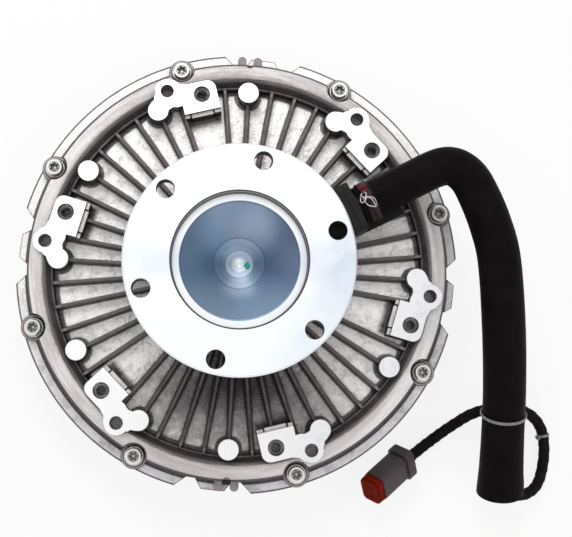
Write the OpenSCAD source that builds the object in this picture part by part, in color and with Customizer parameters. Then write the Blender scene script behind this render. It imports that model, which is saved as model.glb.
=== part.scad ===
// Electronically controlled viscous fan clutch.
// It lies on the tips of its front fins at z = 0, with the axis of rotation on Z and the hub flange on top.

/* [Stack along the axis] */
// Height of the front cooling fins
front_fin_h = 14; // [12:1:18]
// Thickness of the cover plate behind the front fins
cover_plate_t = 6; // [5:0.5:8]
// Height of the chamber that the rotor runs in
chamber_h = 17.5; // [17.5:0.5:20]
// Depth of the casing's register inside the cover
register_h = 2.5; // [2:0.5:3]
// Thickness of the casing plate under the rear fins
casing_plate_t = 5.5; // [5:0.5:8]
// Height of the rear cooling fins above the casing plate
rear_fin_h = 8; // [6:0.5:10]
// Height of the fan pads above the casing plate
pad_h = 13; // [11:0.5:16]
// Distance from the fan pads to the hub flange's face
flange_standoff = 48; // [48:1:60]

/* [Housing] */
// Radius of the working chamber
chamber_r = 105.2; // [104.5:0.1:106]
// Width of the casing outside the chamber
rim_w = 17.6; // [17:0.1:18.4]
// Width of the ring round the rear fins
rim_ring_w = 14.8; // [14:0.1:16]
// Step from the casing's edge to the cover's rim in the gaps between its ears
cover_lip = 1; // [0.6:0.1:2]
// Reach of the ears beyond the cover's rim
ear_reach = 6.7; // [6:0.1:9]
// Thickness of the cover's ears
ear_t = 10; // [8:0.5:12]
// Height of the rim ring above the casing plate
rim_h = 10.5; // [9.5:0.5:12]
// Number of fin places round the casing
fin_count = 48; // [48]
// Thickness of a fin at its tip
fin_tip_t = 1.8; // [1.4:0.1:2.4]
// Thickness of a fin at its root
fin_root_t = 3; // [2.4:0.1:3.6]
// Radius of the bearing hub's outside
hub_r = 46; // [45.5:0.5:48]

/* [Fan mounting] */
// Pitch circle diameter of the outer fan holes
fan_outer_pcd = 226; // [224:0.5:228]
// Pitch circle diameter of the inner, chamfered fan holes
fan_inner_pcd = 211; // [209:0.5:213]
// Radius of the outer fan holes
fan_outer_hole_r = 3.85; // [3.2:0.05:4.2]
// Tapping radius of the inner fan holes
fan_inner_hole_r = 3.4; // [3:0.05:4]
// Depth of the fan holes
fan_hole_depth = 14; // [10:0.5:15]
// Radius of the machined discs and of the pads' inner lobes
disc_r = 6; // [5:0.1:7]
// Pitch radius of the machined discs
disc_pitch_r = 104.5; // [104:0.1:106]

/* [Cover screws] */
// Distance of the screws' circle outside the casing's edge
screw_out = 0.7; // [0:0.1:1.5]
// Radius of a screw's shank
screw_r = 3; // [2.5:0.1:3.5]
// Radius of a screw's head
screw_head_r = 5; // [4.5:0.1:5.5]
// Radius of the collar under a screw's head
screw_collar_r = 6.3; // [6:0.1:6.8]
// Radius of the round seat that each screw stands in
screw_seat_r = 7.75; // [7.5:0.05:8.2]

/* [Hub flange and shaft] */
// Radius of the hub flange
flange_r = 64.3; // [62:0.1:66]
// Thickness of the hub flange
flange_t = 11; // [9:0.5:12]
// Pitch circle diameter of the hub bolts
hub_pcd = 112; // [108:0.5:114]
// Radius of the hub bolt holes
hub_hole_r = 5.25; // [4.5:0.05:6]
// Radius of the pilot bore in the flange
pilot_r = 37.7; // [36:0.1:40]
// Depth of the pilot bore
pilot_depth = 7; // [5:0.5:8]
// Mouth radius of the conical bowl inside the pilot bore
bowl_r = 33.5; // [31:0.5:35]
// Radius of the shaft in the main bearing
shaft_r = 20; // [18:0.5:21]
// Radius of the shaft in the carrier bearing
carrier_shaft_r = 22.5; // [22:0.5:23]
// Radius of the shaft in the rotor
rotor_shaft_r = 16; // [14:0.5:17]
// Radius of the threaded nose of the shaft
nose_r = 10; // [8:0.5:12]

/* [Bearings] */
// Outer radius of the main bearing
main_bearing_r = 40; // [39.5:0.1:40.5]
// Width of the main bearing
main_bearing_w = 18; // [16:0.5:19]
// Radius of the main bearing's balls
main_ball_r = 5.8; // [5.2:0.1:6]
// Number of balls in the main bearing
main_ball_count = 9; // [7:1:10]
// Outer radius of the carrier bearing
carrier_bearing_r = 29; // [28.5:0.1:29.5]
// Width of the carrier bearing
carrier_bearing_w = 7; // [6:0.5:8]
// Radius of the carrier bearing's balls
carrier_ball_r = 1.85; // [1.6:0.05:2]
// Number of balls in the carrier bearing
carrier_ball_count = 20; // [14:1:24]

/* [Rotor and labyrinth] */
// Gap between the rotor's edge and the chamber
rotor_gap = 1; // [0.8:0.1:1.5]
// Thickness of the rotor's web between its lands
rotor_web_t = 8.5; // [8:0.5:9]
// Height of the labyrinth lands
land_h = 4; // [3.5:0.1:4.2]
// Width of a labyrinth land
land_w = 2; // [1.6:0.1:2.2]
// Distance from one land to the next on the same piece
land_pitch = 5; // [5:0.1:5.2]
// Width of the rotor's plain rim outside the lands
land_rim = 5.2; // [4.5:0.1:6]
// Number of lands on each side of the casing and cover
land_count = 8; // [5:1:8]

/* [Coil carrier] */
// Outer radius of the coil carrier
carrier_r = 50; // [49:0.5:50.5]
// Wall of the coil carrier outside its magnet
carrier_wall = 7.6; // [7:0.1:9]
// Height of the coil carrier
carrier_h = 22; // [20:0.5:22]
// Direction of the carrier's arm
arm_angle = 26.5; // [0:0.5:60]
// Reach of the arm from the axis to its end face
arm_reach = 74; // [70:0.5:76]
// Width of the arm
arm_w = 29; // [24:0.5:30]
// Radius of the hose spigot
spigot_r = 8.4; // [7:0.1:9]
// Length of the hose spigot
spigot_l = 20; // [14:0.5:22]

/* [Hose and lead] */
// Wall of the formed hose
hose_wall = 2.4; // [2:0.1:3]
// Radius of the coil lead
lead_r = 3.5; // [3:0.1:3.6]
// Width of the hose clamp's band
clamp_w = 8; // [5:0.5:10]
// Thickness of the hose clamp's band
clamp_t = 0.8; // [0.6:0.1:1.2]

/* [Connector] */
// Length of the connector
plug_l = 36; // [34:0.5:40]
// Width across the connector's body
plug_w = 14; // [12:0.5:16]
// Width across the connector's rear collar
plug_collar_w = 16.4; // [14.5:0.1:18]
// Length of the rear collar
plug_collar_l = 10; // [8:0.5:12]

/* [Fits] */
// Radial clearance of a running fit
running_fit = 0.05; // [0.02:0.01:0.08]
// Gap between parts that pass each other
gap = 0.3; // [0.3:0.05:0.4]

/* [Hidden] */
$fn = 96;

// Heights from the front fin tips up to the hub flange.
z_plate = front_fin_h;
z_chamber = z_plate + cover_plate_t;
z_roof = z_chamber + chamber_h;
z_split = z_roof + register_h;
z_floor = z_roof + casing_plate_t;
z_fin = z_floor + rear_fin_h;
z_pad = z_floor + pad_h;
z_rim = z_floor + rim_h;
z_face = z_pad + flange_standoff;
z_under = z_face - flange_t;
z_seat = z_split + 3.5;
z_main = z_roof + 4;
z_ring = z_main + main_bearing_w;
ring_t = 1.8;
z_seal = z_ring + ring_t + 0.2;
seal_w = 3.5;
z_hub = z_seal + seal_w;
z_carrier = z_hub + 3;
z_carrier_top = z_carrier + carrier_h;
z_small = z_carrier + 3.5;
z_small_top = z_small + carrier_bearing_w;
z_neck = z_small_top + 3;
z_arm = z_carrier + 10;
z_cradle = z_arm - 15;
z_web = z_chamber + (chamber_h - rotor_web_t) / 2;
z_web_top = z_web + rotor_web_t;
z_rotor_hub = z_web + 6.5;

// Bearing grooves and race thicknesses.
main_pitch_r = (shaft_r + main_bearing_r) / 2;
main_race_t = (main_bearing_r - shaft_r) * 0.27;
small_pitch_r = (carrier_shaft_r + carrier_bearing_r) / 2;
small_race_t = (carrier_bearing_r - carrier_shaft_r) * 0.29;

// Magnet, sensor and arm of the coil carrier, and the cradle under the hose.
core_r = carrier_r - carrier_wall;
core_in = carrier_bearing_r + 2.6;
core_h = 14;
sensor_r = core_r + 3.2;
arm_root = core_r + 2.6;
sensor_angle = arm_angle - 24;
cradle_t = 2.8;
cradle_r0 = 66;

// Radii that follow from the chamber and the casing's edge.
body_r = chamber_r + rim_w;
fin_wall_r = body_r - rim_ring_w;
gap_r = body_r + cover_lip;
ear_r = gap_r + ear_reach;
screw_pitch_r = body_r + screw_out;
rotor_r = chamber_r - rotor_gap;
land_r0 = rotor_r - land_rim - land_w - (land_count - 1) * land_pitch;

// Fan pads, fins, screws and gaps round the axis.
pad_count = 6;
pad_a0 = 52;
fin_a0 = 27;
disc_a0 = 27;
screw_count = 8;
screw_a0 = 16;
gap_count = 4;
gap_a0 = 83.5;
tab_angles = [87, 267];
fin_step = 360 / fin_count;

// Bowl of the shaft.
bowl_knee_r = 14.5;
bowl_end_r = 8;
z_pilot = z_face - pilot_depth;
z_knee = z_pilot - 14;
z_bowl = z_knee - 4;
shoulder_r = carrier_shaft_r + 2;

// Reservoir in the cover.
plate_r = land_r0 - 4;
reservoir_r = plate_r - 4;
plate_t = 1.6;
z_res_floor = z_chamber - 12;
z_res_plate = z_chamber - 0.8;
pin_r = 1.5;
z_pin = z_res_plate - 3;
lever_open = 4;
feed_x = reservoir_r - 10;
lever_l = 30;
pin_x = feed_x - lever_l;
wiper_w = 13.2;
wiper_t = 2.9;
nut_r = nose_r + 7.3;
lever_w = 12;

// The hose's centre line, with its outer radius as the fourth number.
hose_start = arm_reach + 2;
hose_root_r = 10.9;
hose_path = [
    [for (r = [hose_start, hose_start + 14, hose_start + 34])
        [r * cos(arm_angle), r * sin(arm_angle), z_arm, hose_root_r]],
    [[113.5, 56.3, 78, 11], [122.5, 57, 78, 11.2], [130.5, 52, 77.6, 11.6], [136.5, 42.5, 77, 11.9],
     [144, 24.5, 75.5, 12.2], [149.5, 3.5, 72.5, 12.4], [153.5, -35, 63, 12.6], [156.5, -70, 48, 12.6],
     [157.8, -95, 35.5, 12.7], [158.6, -115, 26, 12.9], [158.8, -120.5, 23.4, 13.1],
     [159, -124, 21.7, 14.2], [159.2, -131, 18.4, 14.3]]];
hose_steps = 3;
hose_sides = 20;

// The coil lead from inside the hose's mouth to the connector.
lead_path = [[156, -105, 30.6], [157.4, -112, 27.4], [158.5, -118, 24.6], [160.4, -124.2, 21.1],
    [164, -129.6, 17.6], [169.4, -132.8, 14.2], [175.8, -133, 10.9], [181.8, -130.2, 8.1],
    [186.2, -124.8, 5.9], [188.9, -116.4, 4.7], [190.2, -107, 4.2], [189.6, -97.4, 4.6],
    [186.2, -89.6, 6.2], [180, -84, 8.8], [172.6, -81.4, 11.8], [165, -80.6, 14.8],
    [157.2, -80.8, 16.2], [149.6, -82, 15], [142.4, -84.8, 11.8], [135.8, -89, 8], [129.2, -93.6, 5],
    [122.6, -98.4, 3.8], [116.4, -102.8, 4.2], [110.4, -107.2, 6.2], [104.6, -111.4, 9.2]];
lead_steps = 3;
lead_sides = 8;
lead_tie_at = 11;
hose_tie_at = 16;
hose_tie_center = [157.2, -84, 41.1];
hose_tie_dir = [0, -0.894, -0.448];
hose_tie_r = 13.1;

// The connector lies on the edge of its collar with its front turned up.
plug_heading = 218.3;
plug_rise = 26;
plug_roll = 48;
plug_z = 9.7;
plug_seal_x = plug_l - 6.4;

function polar(r, a) = [r * cos(a), r * sin(a)];
function arc(c, r, a0, a1, n) = [for (i = [0:n]) c + polar(r, a0 + (a1 - a0) * i / n)];
function flat(lists) = [for (l = lists) each l];
function unit(v) = v / norm(v);

// One span of a smooth curve through four points.
function span(a, b, c, d, t) =
    0.5 * (2 * b + (c - a) * t + (2 * a - 5 * b + 4 * c - d) * t * t + (3 * b - a - 3 * c + d) * t * t * t);
function smooth(p, steps) = let (n = len(p) - 1) concat(
    [for (i = [0:n - 1], j = [0:steps - 1])
        span(i > 0 ? p[i - 1] : 2 * p[0] - p[1], p[i], p[i + 1],
            i < n - 1 ? p[i + 2] : 2 * p[n] - p[n - 1], j / steps)],
    [p[n]]);
function xyz(p) = [p[0], p[1], p[2]];
function heading(p, i) = unit(xyz(p[min(i + 1, len(p) - 1)]) - xyz(p[max(i - 1, 0)]));
function ring_at(c, dir, r, n) =
    let (side = unit(cross(dir, [0, 0, 1])), up = cross(side, dir))
    [for (k = [0:n - 1]) c + r * (cos(360 * k / n) * side + sin(360 * k / n) * up)];

// Faces between two neighbouring rings of n points.
function band(a, b, n) = [for (k = [0:n - 1]) each
    [[a + k, a + (k + 1) % n, b + (k + 1) % n], [a + k, b + (k + 1) % n, b + k]]];

module solid_tube(p, r, n) {
    last = len(p) - 1;
    points = flat([for (i = [0:last]) ring_at(xyz(p[i]), heading(p, i), r, n)]);
    polyhedron(points, concat(
        [[for (k = [0:n - 1]) n - 1 - k]],
        flat([for (i = [0:last - 1]) band(i * n, (i + 1) * n, n)]),
        [[for (k = [0:n - 1]) last * n + k]]));
}

// A tube whose outer radius is the fourth number of each point, open at both ends.
module hollow_tube(p, wall, n) {
    last = len(p) - 1;
    inner = (last + 1) * n;
    snug = 1 / cos(180 / n);
    points = concat(
        flat([for (i = [0:last]) ring_at(xyz(p[i]), heading(p, i), p[i][3], n)]),
        flat([for (i = [0:last]) ring_at(xyz(p[i]), heading(p, i), (p[i][3] - wall) * snug, n)]));
    polyhedron(points, concat(
        flat([for (i = [0:last - 1]) band(i * n, (i + 1) * n, n)]),
        flat([for (i = [0:last - 1]) band(inner + (i + 1) * n, inner + i * n, n)]),
        band(inner, 0, n),
        band(last * n, inner + last * n, n)));
}

// Turns the X axis to the direction d and moves to c.
module along(c, d) {
    translate(c)
        rotate([0, -atan2(d[2], norm([d[0], d[1]])), atan2(d[1], d[0])])
            children();
}

module ring(outer, inner, h) {
    difference() {
        cylinder(r = outer, h = h);
        translate([0, 0, -1])
            cylinder(r = inner, h = h + 2);
    }
}

module around(count, start) {
    for (i = [0:count - 1])
        rotate(start + i * 360 / count)
            children();
}

// A square with round corners, centred.
module round_square(w, h, r) {
    square([w - 2 * r, h], center = true);
    square([w, h - 2 * r], center = true);
    for (x = [-1, 1], y = [-1, 1])
        translate([x * (w / 2 - r), y * (h / 2 - r)])
            circle(r = r, $fn = 32);
}

// A straight bar along X with a round-cornered section.
module bar(l, w, h, r) {
    rotate([90, 0, 90])
        linear_extrude(l)
            round_square(w, h, r);
}

// Radial fin between two radii, thicker at its root z0 than at its tip z1.
module fin(r0, r1, z0, z1) {
    translate([r0, 0, 0])
        rotate([90, 0, 90])
            linear_extrude(r1 - r0)
                polygon([[-fin_root_t / 2, z0], [fin_root_t / 2, z0], [fin_tip_t / 2, z1],
                    [-fin_tip_t / 2, z1]]);
}

// The profile of the labyrinth lands, from a face at z in the direction dir.
function lands(r0, z, dir) = flat([for (i = [0:land_count - 1]) let (r = r0 + i * land_pitch)
    [[r, z], [r, z + dir * land_h], [r + land_w, z + dir * land_h], [r + land_w, z]]]);

module casing_shell() {
    rim_in = fin_wall_r + 5;
    rim_out = body_r - 4;
    rotate_extrude($fn = 180)
        polygon(concat(
            [[main_bearing_r - 5, z_roof]],
            lands(land_r0, z_roof, -1),
            [[chamber_r - running_fit, z_roof], [chamber_r - running_fit, z_split], [body_r, z_split],
             [body_r, z_rim - 5]],
            arc([rim_out + 1.6, z_rim - 3.6], 2.4, 0, 70, 4),
            [[rim_out - 1, z_rim - 0.4], [rim_in + 3, z_rim]],
            arc([rim_in + 1.6, z_rim - 1.8], 1.8, 90, 145, 3),
            [[fin_wall_r + 1.4, z_rim - 4.6], [fin_wall_r + 1.2, z_rim - 5], [fin_wall_r, z_rim - 5],
             [fin_wall_r - 0.5, z_floor], [hub_r + 1, z_floor], [hub_r, z_hub - 3],
             [hub_r - 2.5, z_hub - 3], [hub_r - 2.5, z_hub], [main_bearing_r, z_hub],
             [main_bearing_r, z_ring + ring_t], [main_bearing_r + 2, z_ring + ring_t],
             [main_bearing_r + 2, z_ring], [main_bearing_r, z_ring], [main_bearing_r, z_main],
             [main_bearing_r - 5, z_main]]));
}

// Outline of a fan pad in a frame whose X axis passes through the outer hole.
module pad_outline() {
    outer = fan_outer_pcd / 2;
    inner = fan_inner_pcd / 2;
    rotate(-8.75) {
        translate([outer - 17.5, -11.3])
            square([12.5, 21.5]);
        translate([outer - 17.5, -6.3])
            square([17.6, 16.5]);
        translate([outer - 5, -6.3])
            circle(r = 5, $fn = 48);
    }
    translate(polar(outer, 0))
        circle(r = 7.2, $fn = 64);
    translate(polar(disc_pitch_r, 5))
        circle(r = disc_r, $fn = 64);
    polygon([polar(inner - 4, -5), polar(outer, -6.6), polar(outer + 1.6, -4.1), polar(outer + 5, -2.9),
        polar(outer, 0), polar(outer + 0.6, 4), polar(outer - 1.6, 4.6), polar(outer - 2.6, 6),
        polar(disc_pitch_r, 5), polar(inner - 3, 2.6)]);
}

module pad_body() {
    difference() {
        translate([0, 0, z_floor - 1])
            linear_extrude(z_pad - z_floor + 1)
                pad_outline();
        translate([0, 0, z_floor - 2])
            translate(polar(98.4, 0.4))
                cylinder(r = 4.3, h = pad_h + 4, $fn = 48);
    }
    // The as-cast ledge in front of the pad's flat edge.
    rotate(-8.75)
        translate([fan_outer_pcd / 2 - 20, 0, z_floor - 1]) {
            translate([0.4, -11.3, 0])
                cube([3, 4, pad_h - 1.5]);
            translate([0, -6.6, 0])
                cube([3, 13, pad_h - 1.5]);
            translate([0.4, 7.2, 0])
                cube([3, 3, pad_h - 1.5]);
        }
}

module fan_holes() {
    z0 = z_pad - fan_hole_depth;
    around(pad_count, pad_a0)
        translate([fan_outer_pcd / 2, 0, z0])
            cylinder(r = fan_outer_hole_r, h = fan_hole_depth + 1, $fn = 48);
    around(pad_count, pad_a0 - 10)
        translate([fan_inner_pcd / 2, 0, z0]) {
            cylinder(r = fan_inner_hole_r, h = fan_hole_depth + 1, $fn = 48);
            translate([0, 0, fan_hole_depth - 1.4])
                cylinder(r1 = fan_inner_hole_r, r2 = fan_inner_hole_r + 1.6, h = 1.6, $fn = 48);
        }
}

module rear_casing() {
    color("silver")
        difference() {
            union() {
                casing_shell();
                for (i = [0:fin_count - 1])
                    if (i % 16 != 10)
                        rotate(fin_a0 + i * fin_step)
                            fin(hub_r - 0.5, fin_wall_r + 0.6, z_floor - 1, z_fin);
                around(pad_count, pad_a0)
                    pad_body();
                around(pad_count, disc_a0)
                    translate([disc_pitch_r, 0, z_floor - 1])
                        cylinder(r = disc_r, h = pad_h + 1, $fn = 64);
                around(screw_count, screw_a0)
                    translate([screw_pitch_r, 0, z_split + gap])
                        cylinder(r = screw_seat_r, h = z_seat - z_split - gap, $fn = 64);
                for (a = tab_angles)
                    rotate(a)
                        for (side = [-1, 1]) {
                            translate([body_r - 4, side * 4.65 - 2.5, z_split + gap])
                                cube([7.2, 5, 6]);
                            translate([body_r + 3.2, side * 4.65, z_split + gap])
                                cylinder(r = 2.5, h = 6, $fn = 48);
                        }
            }
            around(screw_count, screw_a0) {
                translate([screw_pitch_r, 0, z_seat])
                    cylinder(r = screw_seat_r, h = pad_h + 10, $fn = 64);
                translate([screw_pitch_r, 0, z_split - 1])
                    cylinder(r = screw_r + running_fit, h = 10, $fn = 48);
            }
            for (a = tab_angles)
                rotate(a)
                    translate([body_r, 0, z_split - 1])
                        cylinder(r = 2.5, h = rim_h + 10, $fn = 48);
            fan_holes();
        }
}

// One gap between two ears of the cover, with the bump in its middle.
module ear_gap() {
    difference() {
        polygon([polar(ear_r + 1, -10.4), polar(gap_r, -7.4), polar(gap_r - 0.2, 0), polar(gap_r, 7.4),
            polar(ear_r + 1, 10.4), polar(ear_r + 4, 5), polar(ear_r + 4, -5)]);
        intersection() {
            circle(r = ear_r - 1.5, $fn = 180);
            polygon([polar(gap_r - 3, -5.2), polar(gap_r, -4.9), polar(ear_r, -2.6), polar(ear_r, 2.6),
                polar(gap_r, 4.9), polar(gap_r - 3, 5.2)]);
        }
    }
}

module front_cover() {
    wall_r = fin_wall_r + 9;
    rim_r = gap_r - 1;
    groove_in = chamber_r + 4;
    color("gainsboro")
        difference() {
            union() {
                rotate_extrude($fn = 180)
                    polygon(concat(
                        [[0, 0], [29, 0], [30, 1], [30, 2], [60, 2], [62, 4], [62, z_plate],
                         [wall_r - 3, z_plate], [wall_r, z_plate + 3],
                         [wall_r, z_split - ear_t], [rim_r, z_split - ear_t],
                         [rim_r, z_split], [groove_in + 2.8, z_split], [groove_in + 2.8, z_split - 2.4],
                         [groove_in, z_split - 2.4], [groove_in, z_split], [chamber_r, z_split],
                         [chamber_r, z_chamber]],
                        [for (i = [0:land_count - 1]) let (r = land_r0 + (land_count - 1 - i) * land_pitch)
                            each [[r + land_w, z_chamber], [r + land_w, z_chamber + land_h],
                                [r, z_chamber + land_h], [r, z_chamber]]],
                        [[plate_r, z_chamber], [plate_r, z_res_plate], [reservoir_r, z_res_plate],
                         [reservoir_r, z_res_floor], [0, z_res_floor]]));
                translate([0, 0, z_split - ear_t])
                    linear_extrude(ear_t)
                        difference() {
                            circle(r = ear_r, $fn = 180);
                            circle(r = rim_r - 1, $fn = 180);
                            around(gap_count, gap_a0)
                                ear_gap();
                        }
                // Front fins, which run on over the edge as ribs under the ears.
                around(fin_count, 3.75)
                    translate([0, fin_root_t / 2 - 0.4, 0])
                        rotate([90, 0, 0])
                            linear_extrude(fin_root_t - 0.8)
                                polygon([[34, 0], [106, 0], [gap_r - 2, z_plate - 2],
                                    [gap_r - 2, z_split - ear_t + 1], [wall_r - 1, z_split - ear_t + 1],
                                    [wall_r - 4, z_plate + 1], [61, z_plate + 1], [61, 3], [34, 3]]);
            }
            around(screw_count, screw_a0)
                translate([screw_pitch_r, 0, z_split - ear_t - 1])
                    cylinder(r = screw_r + running_fit, h = ear_t + 2, $fn = 48);
            // Pocket for the wiper block in the chamber wall.
            translate([chamber_r - 6, -wiper_w / 2 - 0.4, z_chamber])
                cube([wiper_t + 6.1, wiper_w + 0.8, chamber_h - 3]);
        }
}

module casing_seal() {
    groove_in = chamber_r + 4;
    color([0.1, 0.1, 0.1])
        translate([0, 0, z_split])
            rotate_extrude($fn = 180)
                polygon([[groove_in + 0.5, 0], [groove_in + 2.3, 0], [groove_in + 2.8, -0.6],
                    [groove_in + 2.8, -1.8], [groove_in + 2.2, -2.4], [groove_in + 0.6, -2.4],
                    [groove_in, -1.8], [groove_in, -0.6]]);
}

module cover_screws() {
    collar_t = 3;
    head_h = 4.5;
    shank_l = z_seat - z_split + ear_t - 1;
    color("lightgray")
        around(screw_count, screw_a0)
            translate([screw_pitch_r, 0, z_seat])
                difference() {
                    union() {
                        translate([0, 0, -shank_l])
                            cylinder(r = screw_r, h = shank_l + 1, $fn = 48);
                        cylinder(r1 = screw_collar_r, r2 = screw_collar_r - 0.8, h = collar_t, $fn = 64);
                        translate([0, 0, collar_t])
                            cylinder(r = screw_head_r, h = head_h - 0.8, $fn = 64);
                        translate([0, 0, collar_t + head_h - 0.8])
                            cylinder(r1 = screw_head_r, r2 = screw_head_r - 0.8, h = 0.8, $fn = 64);
                    }
                    // Six-lobed driving recess.
                    translate([0, 0, collar_t + head_h - 3]) {
                        cylinder(r = 1.9, h = 4, $fn = 32);
                        around(6, 0)
                            translate([1.9, 0, 0])
                                cylinder(r = 0.75, h = 4, $fn = 24);
                    }
                }
}

module reservoir_plate() {
    lug_h = z_res_plate - z_pin + 3;
    color("darkgray")
        difference() {
            union() {
                translate([0, 0, z_res_plate])
                    cylinder(r = plate_r, h = plate_t, $fn = 128);
                for (side = [-1, 1])
                    translate([pin_x - 3, side * (lever_w / 2 + gap + 1.5) - 1.5, z_res_plate - lug_h])
                        cube([6, 3, lug_h + 0.5]);
            }
            translate([feed_x, 0, z_res_plate - 1])
                cylinder(r = 3, h = plate_t + 2, $fn = 48);
            translate([pin_x, 20, z_pin])
                rotate([90, 0, 0])
                    cylinder(r = pin_r, h = 40, $fn = 32);
        }
}

module lever_pin() {
    half = lever_w / 2 + gap + 3;
    color("dimgray")
        translate([pin_x, half, z_pin])
            rotate([90, 0, 0])
                cylinder(r = pin_r, h = 2 * half, $fn = 32);
}

module wiper_block() {
    color("tan")
        translate([chamber_r - 0.4, -wiper_w / 2, z_chamber])
            cube([wiper_t, wiper_w, chamber_h - 3.6]);
}

module input_shaft() {
    z_groove = z_small - 1.6;
    color("lightsteelblue")
        difference() {
            rotate_extrude($fn = 180)
                polygon([[0, z_web - 2.6], [nose_r - 1, z_web - 2.6], [nose_r, z_web - 1.6],
                    [nose_r, z_rotor_hub], [rotor_shaft_r, z_rotor_hub], [rotor_shaft_r, z_main],
                    [shaft_r, z_main], [shaft_r, z_ring], [carrier_shaft_r, z_ring],
                    [carrier_shaft_r, z_groove], [carrier_shaft_r - 1.2, z_groove],
                    [carrier_shaft_r - 1.2, z_small], [carrier_shaft_r, z_small],
                    [carrier_shaft_r, z_small_top], [shoulder_r, z_small_top], [shoulder_r, z_neck],
                    [shoulder_r + 15, z_under], [flange_r - 0.8, z_under], [flange_r, z_under + 0.8],
                    [flange_r, z_face - 0.8], [flange_r - 0.8, z_face], [pilot_r + 0.6, z_face],
                    [pilot_r, z_face - 0.6], [pilot_r, z_pilot], [bowl_r, z_pilot],
                    [bowl_r - 1, z_pilot - 0.4], [bowl_knee_r, z_knee], [bowl_end_r, z_bowl],
                    [3.2, z_bowl - 0.6], [1.4, z_bowl - 3.2], [0, z_bowl - 4]]);
            around(6, 16.7)
                translate([hub_pcd / 2, 0, z_under - 1])
                    cylinder(r = hub_hole_r, h = flange_t + 2, $fn = 64);
        }
}

module rotor() {
    hub_or = 30;
    land_lo = land_r0 - (land_pitch - 2 * land_w) / 2 - land_w;
    lower = lands(land_lo, z_web, -1);
    upper = lands(land_lo, z_web_top, 1);
    color("silver")
        rotate_extrude($fn = 180)
            polygon(concat(
                [[rotor_shaft_r, z_rotor_hub], [19, z_rotor_hub], [19, z_web]],
                lower,
                [[rotor_r, z_web], [rotor_r, z_web_top]],
                [for (i = [len(upper) - 1:-1:0]) upper[i]],
                [[hub_or, z_web_top], [hub_or, z_main - 1], [shaft_r + 5, z_main - 1],
                 [shaft_r + 5, z_main], [rotor_shaft_r, z_main]]));
}

module rotor_nut() {
    color("gray")
        difference() {
            translate([0, 0, z_web - 1.5])
                cylinder(r = nut_r, h = z_rotor_hub - z_web + 1.5, $fn = 6);
            translate([0, 0, z_web - 3])
                cylinder(r = nose_r, h = 20, $fn = 64);
        }
}

// Inner or outer race of a ball bearing whose groove is a ring of radius groove_r at pitch_r.
module race(outer, inner, w, pitch_r, groove_r) {
    rotate_extrude($fn = 128)
        difference() {
            translate([inner, 0])
                square([outer - inner, w]);
            translate([pitch_r, w / 2])
                circle(r = groove_r, $fn = 48);
        }
}

module ball_cage(pitch_r, t, h, ball_r, count) {
    difference() {
        ring(pitch_r + t / 2, pitch_r - t / 2, h);
        around(count, 0)
            translate([pitch_r - t, 0, h / 2])
                rotate([0, 90, 0])
                    cylinder(r = ball_r + 0.2, h = 2 * t, $fn = 32);
    }
}

module balls(pitch_r, ball_r, count) {
    around(count, 0)
        translate([pitch_r, 0, 0])
            sphere(r = ball_r, $fn = 32);
}

module main_bearing_inner() {
    color("lightgray")
        translate([0, 0, z_main])
            race(shaft_r + main_race_t, shaft_r, main_bearing_w, main_pitch_r, main_ball_r + gap);
}

module main_bearing_outer() {
    color("lightgray")
        translate([0, 0, z_main])
            race(main_bearing_r, main_bearing_r - main_race_t, main_bearing_w, main_pitch_r,
                main_ball_r + gap);
}

module main_bearing_balls() {
    color("white")
        translate([0, 0, z_main + main_bearing_w / 2])
            balls(main_pitch_r, main_ball_r, main_ball_count);
}

module main_bearing_cage() {
    color("goldenrod")
        translate([0, 0, z_main + 2])
            ball_cage(main_pitch_r, 3.4, main_bearing_w - 4, main_ball_r, main_ball_count);
}

module bearing_retaining_ring() {
    color("dimgray")
        translate([0, 0, z_ring])
            difference() {
                ring(main_bearing_r + 1.9, main_bearing_r - 3.5, ring_t);
                translate([main_bearing_r - 5, -5, -1])
                    cube([10, 10, ring_t + 2]);
            }
}

module shaft_seal() {
    lip = carrier_shaft_r + running_fit;
    color([0.12, 0.12, 0.12])
        translate([0, 0, z_seal])
            rotate_extrude($fn = 128)
                polygon([[main_bearing_r - 5, 0], [main_bearing_r, 0], [main_bearing_r, seal_w],
                    [lip + 2, seal_w],
                    [lip, seal_w - 1], [lip, seal_w - 2], [lip + 3, seal_w - 3.4], [lip + 4, seal_w - 2],
                    [main_bearing_r - 5, seal_w - 2]]);
}

module tone_ring() {
    color("dimgray")
        translate([0, 0, z_hub - 3])
            difference() {
                ring(hub_r + 1.5, hub_r - 2.5, 3);
                around(16, 0)
                    translate([hub_r - 0.6, -2.2, 1])
                        cube([4, 4.4, 4]);
            }
}

// The lever is drawn closed and turned open about its pin.
module lever_frame() {
    translate([pin_x, 0, z_pin])
        rotate([0, lever_open, 0])
            children();
}

module valve_lever() {
    tip = lever_l;
    color("burlywood")
        lever_frame()
            difference() {
                union() {
                    translate([0, lever_w / 2, 0])
                        rotate([90, 0, 0])
                            cylinder(r = 2.4, h = lever_w, $fn = 48);
                    translate([0, -4, -0.6])
                        cube([tip, 8, 1.2]);
                    translate([tip, 0, -0.6])
                        cylinder(r = 5, h = z_res_plate - z_pin + 0.6 - gap, $fn = 48);
                }
                translate([0, 20, 0])
                    rotate([90, 0, 0])
                        cylinder(r = pin_r + running_fit, h = 40, $fn = 32);
            }
}

module armature() {
    color("slategray")
        lever_frame()
            translate([12.5, 0, -3.1])
                cylinder(r = 8, h = 2.5, $fn = 64);
}

module return_spring() {
    color("steelblue")
        lever_frame()
            translate([6, 2.5, 0])
                rotate([90, 0, 0])
                    linear_extrude(5)
                        polygon([[0, 0.6], [8, 0.6], [15, z_res_plate - z_pin - gap - 0.5],
                            [15, z_res_plate - z_pin - gap], [14.6, z_res_plate - z_pin - gap],
                            [7.8, 1.1], [0, 1.1]]);
}

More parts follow.
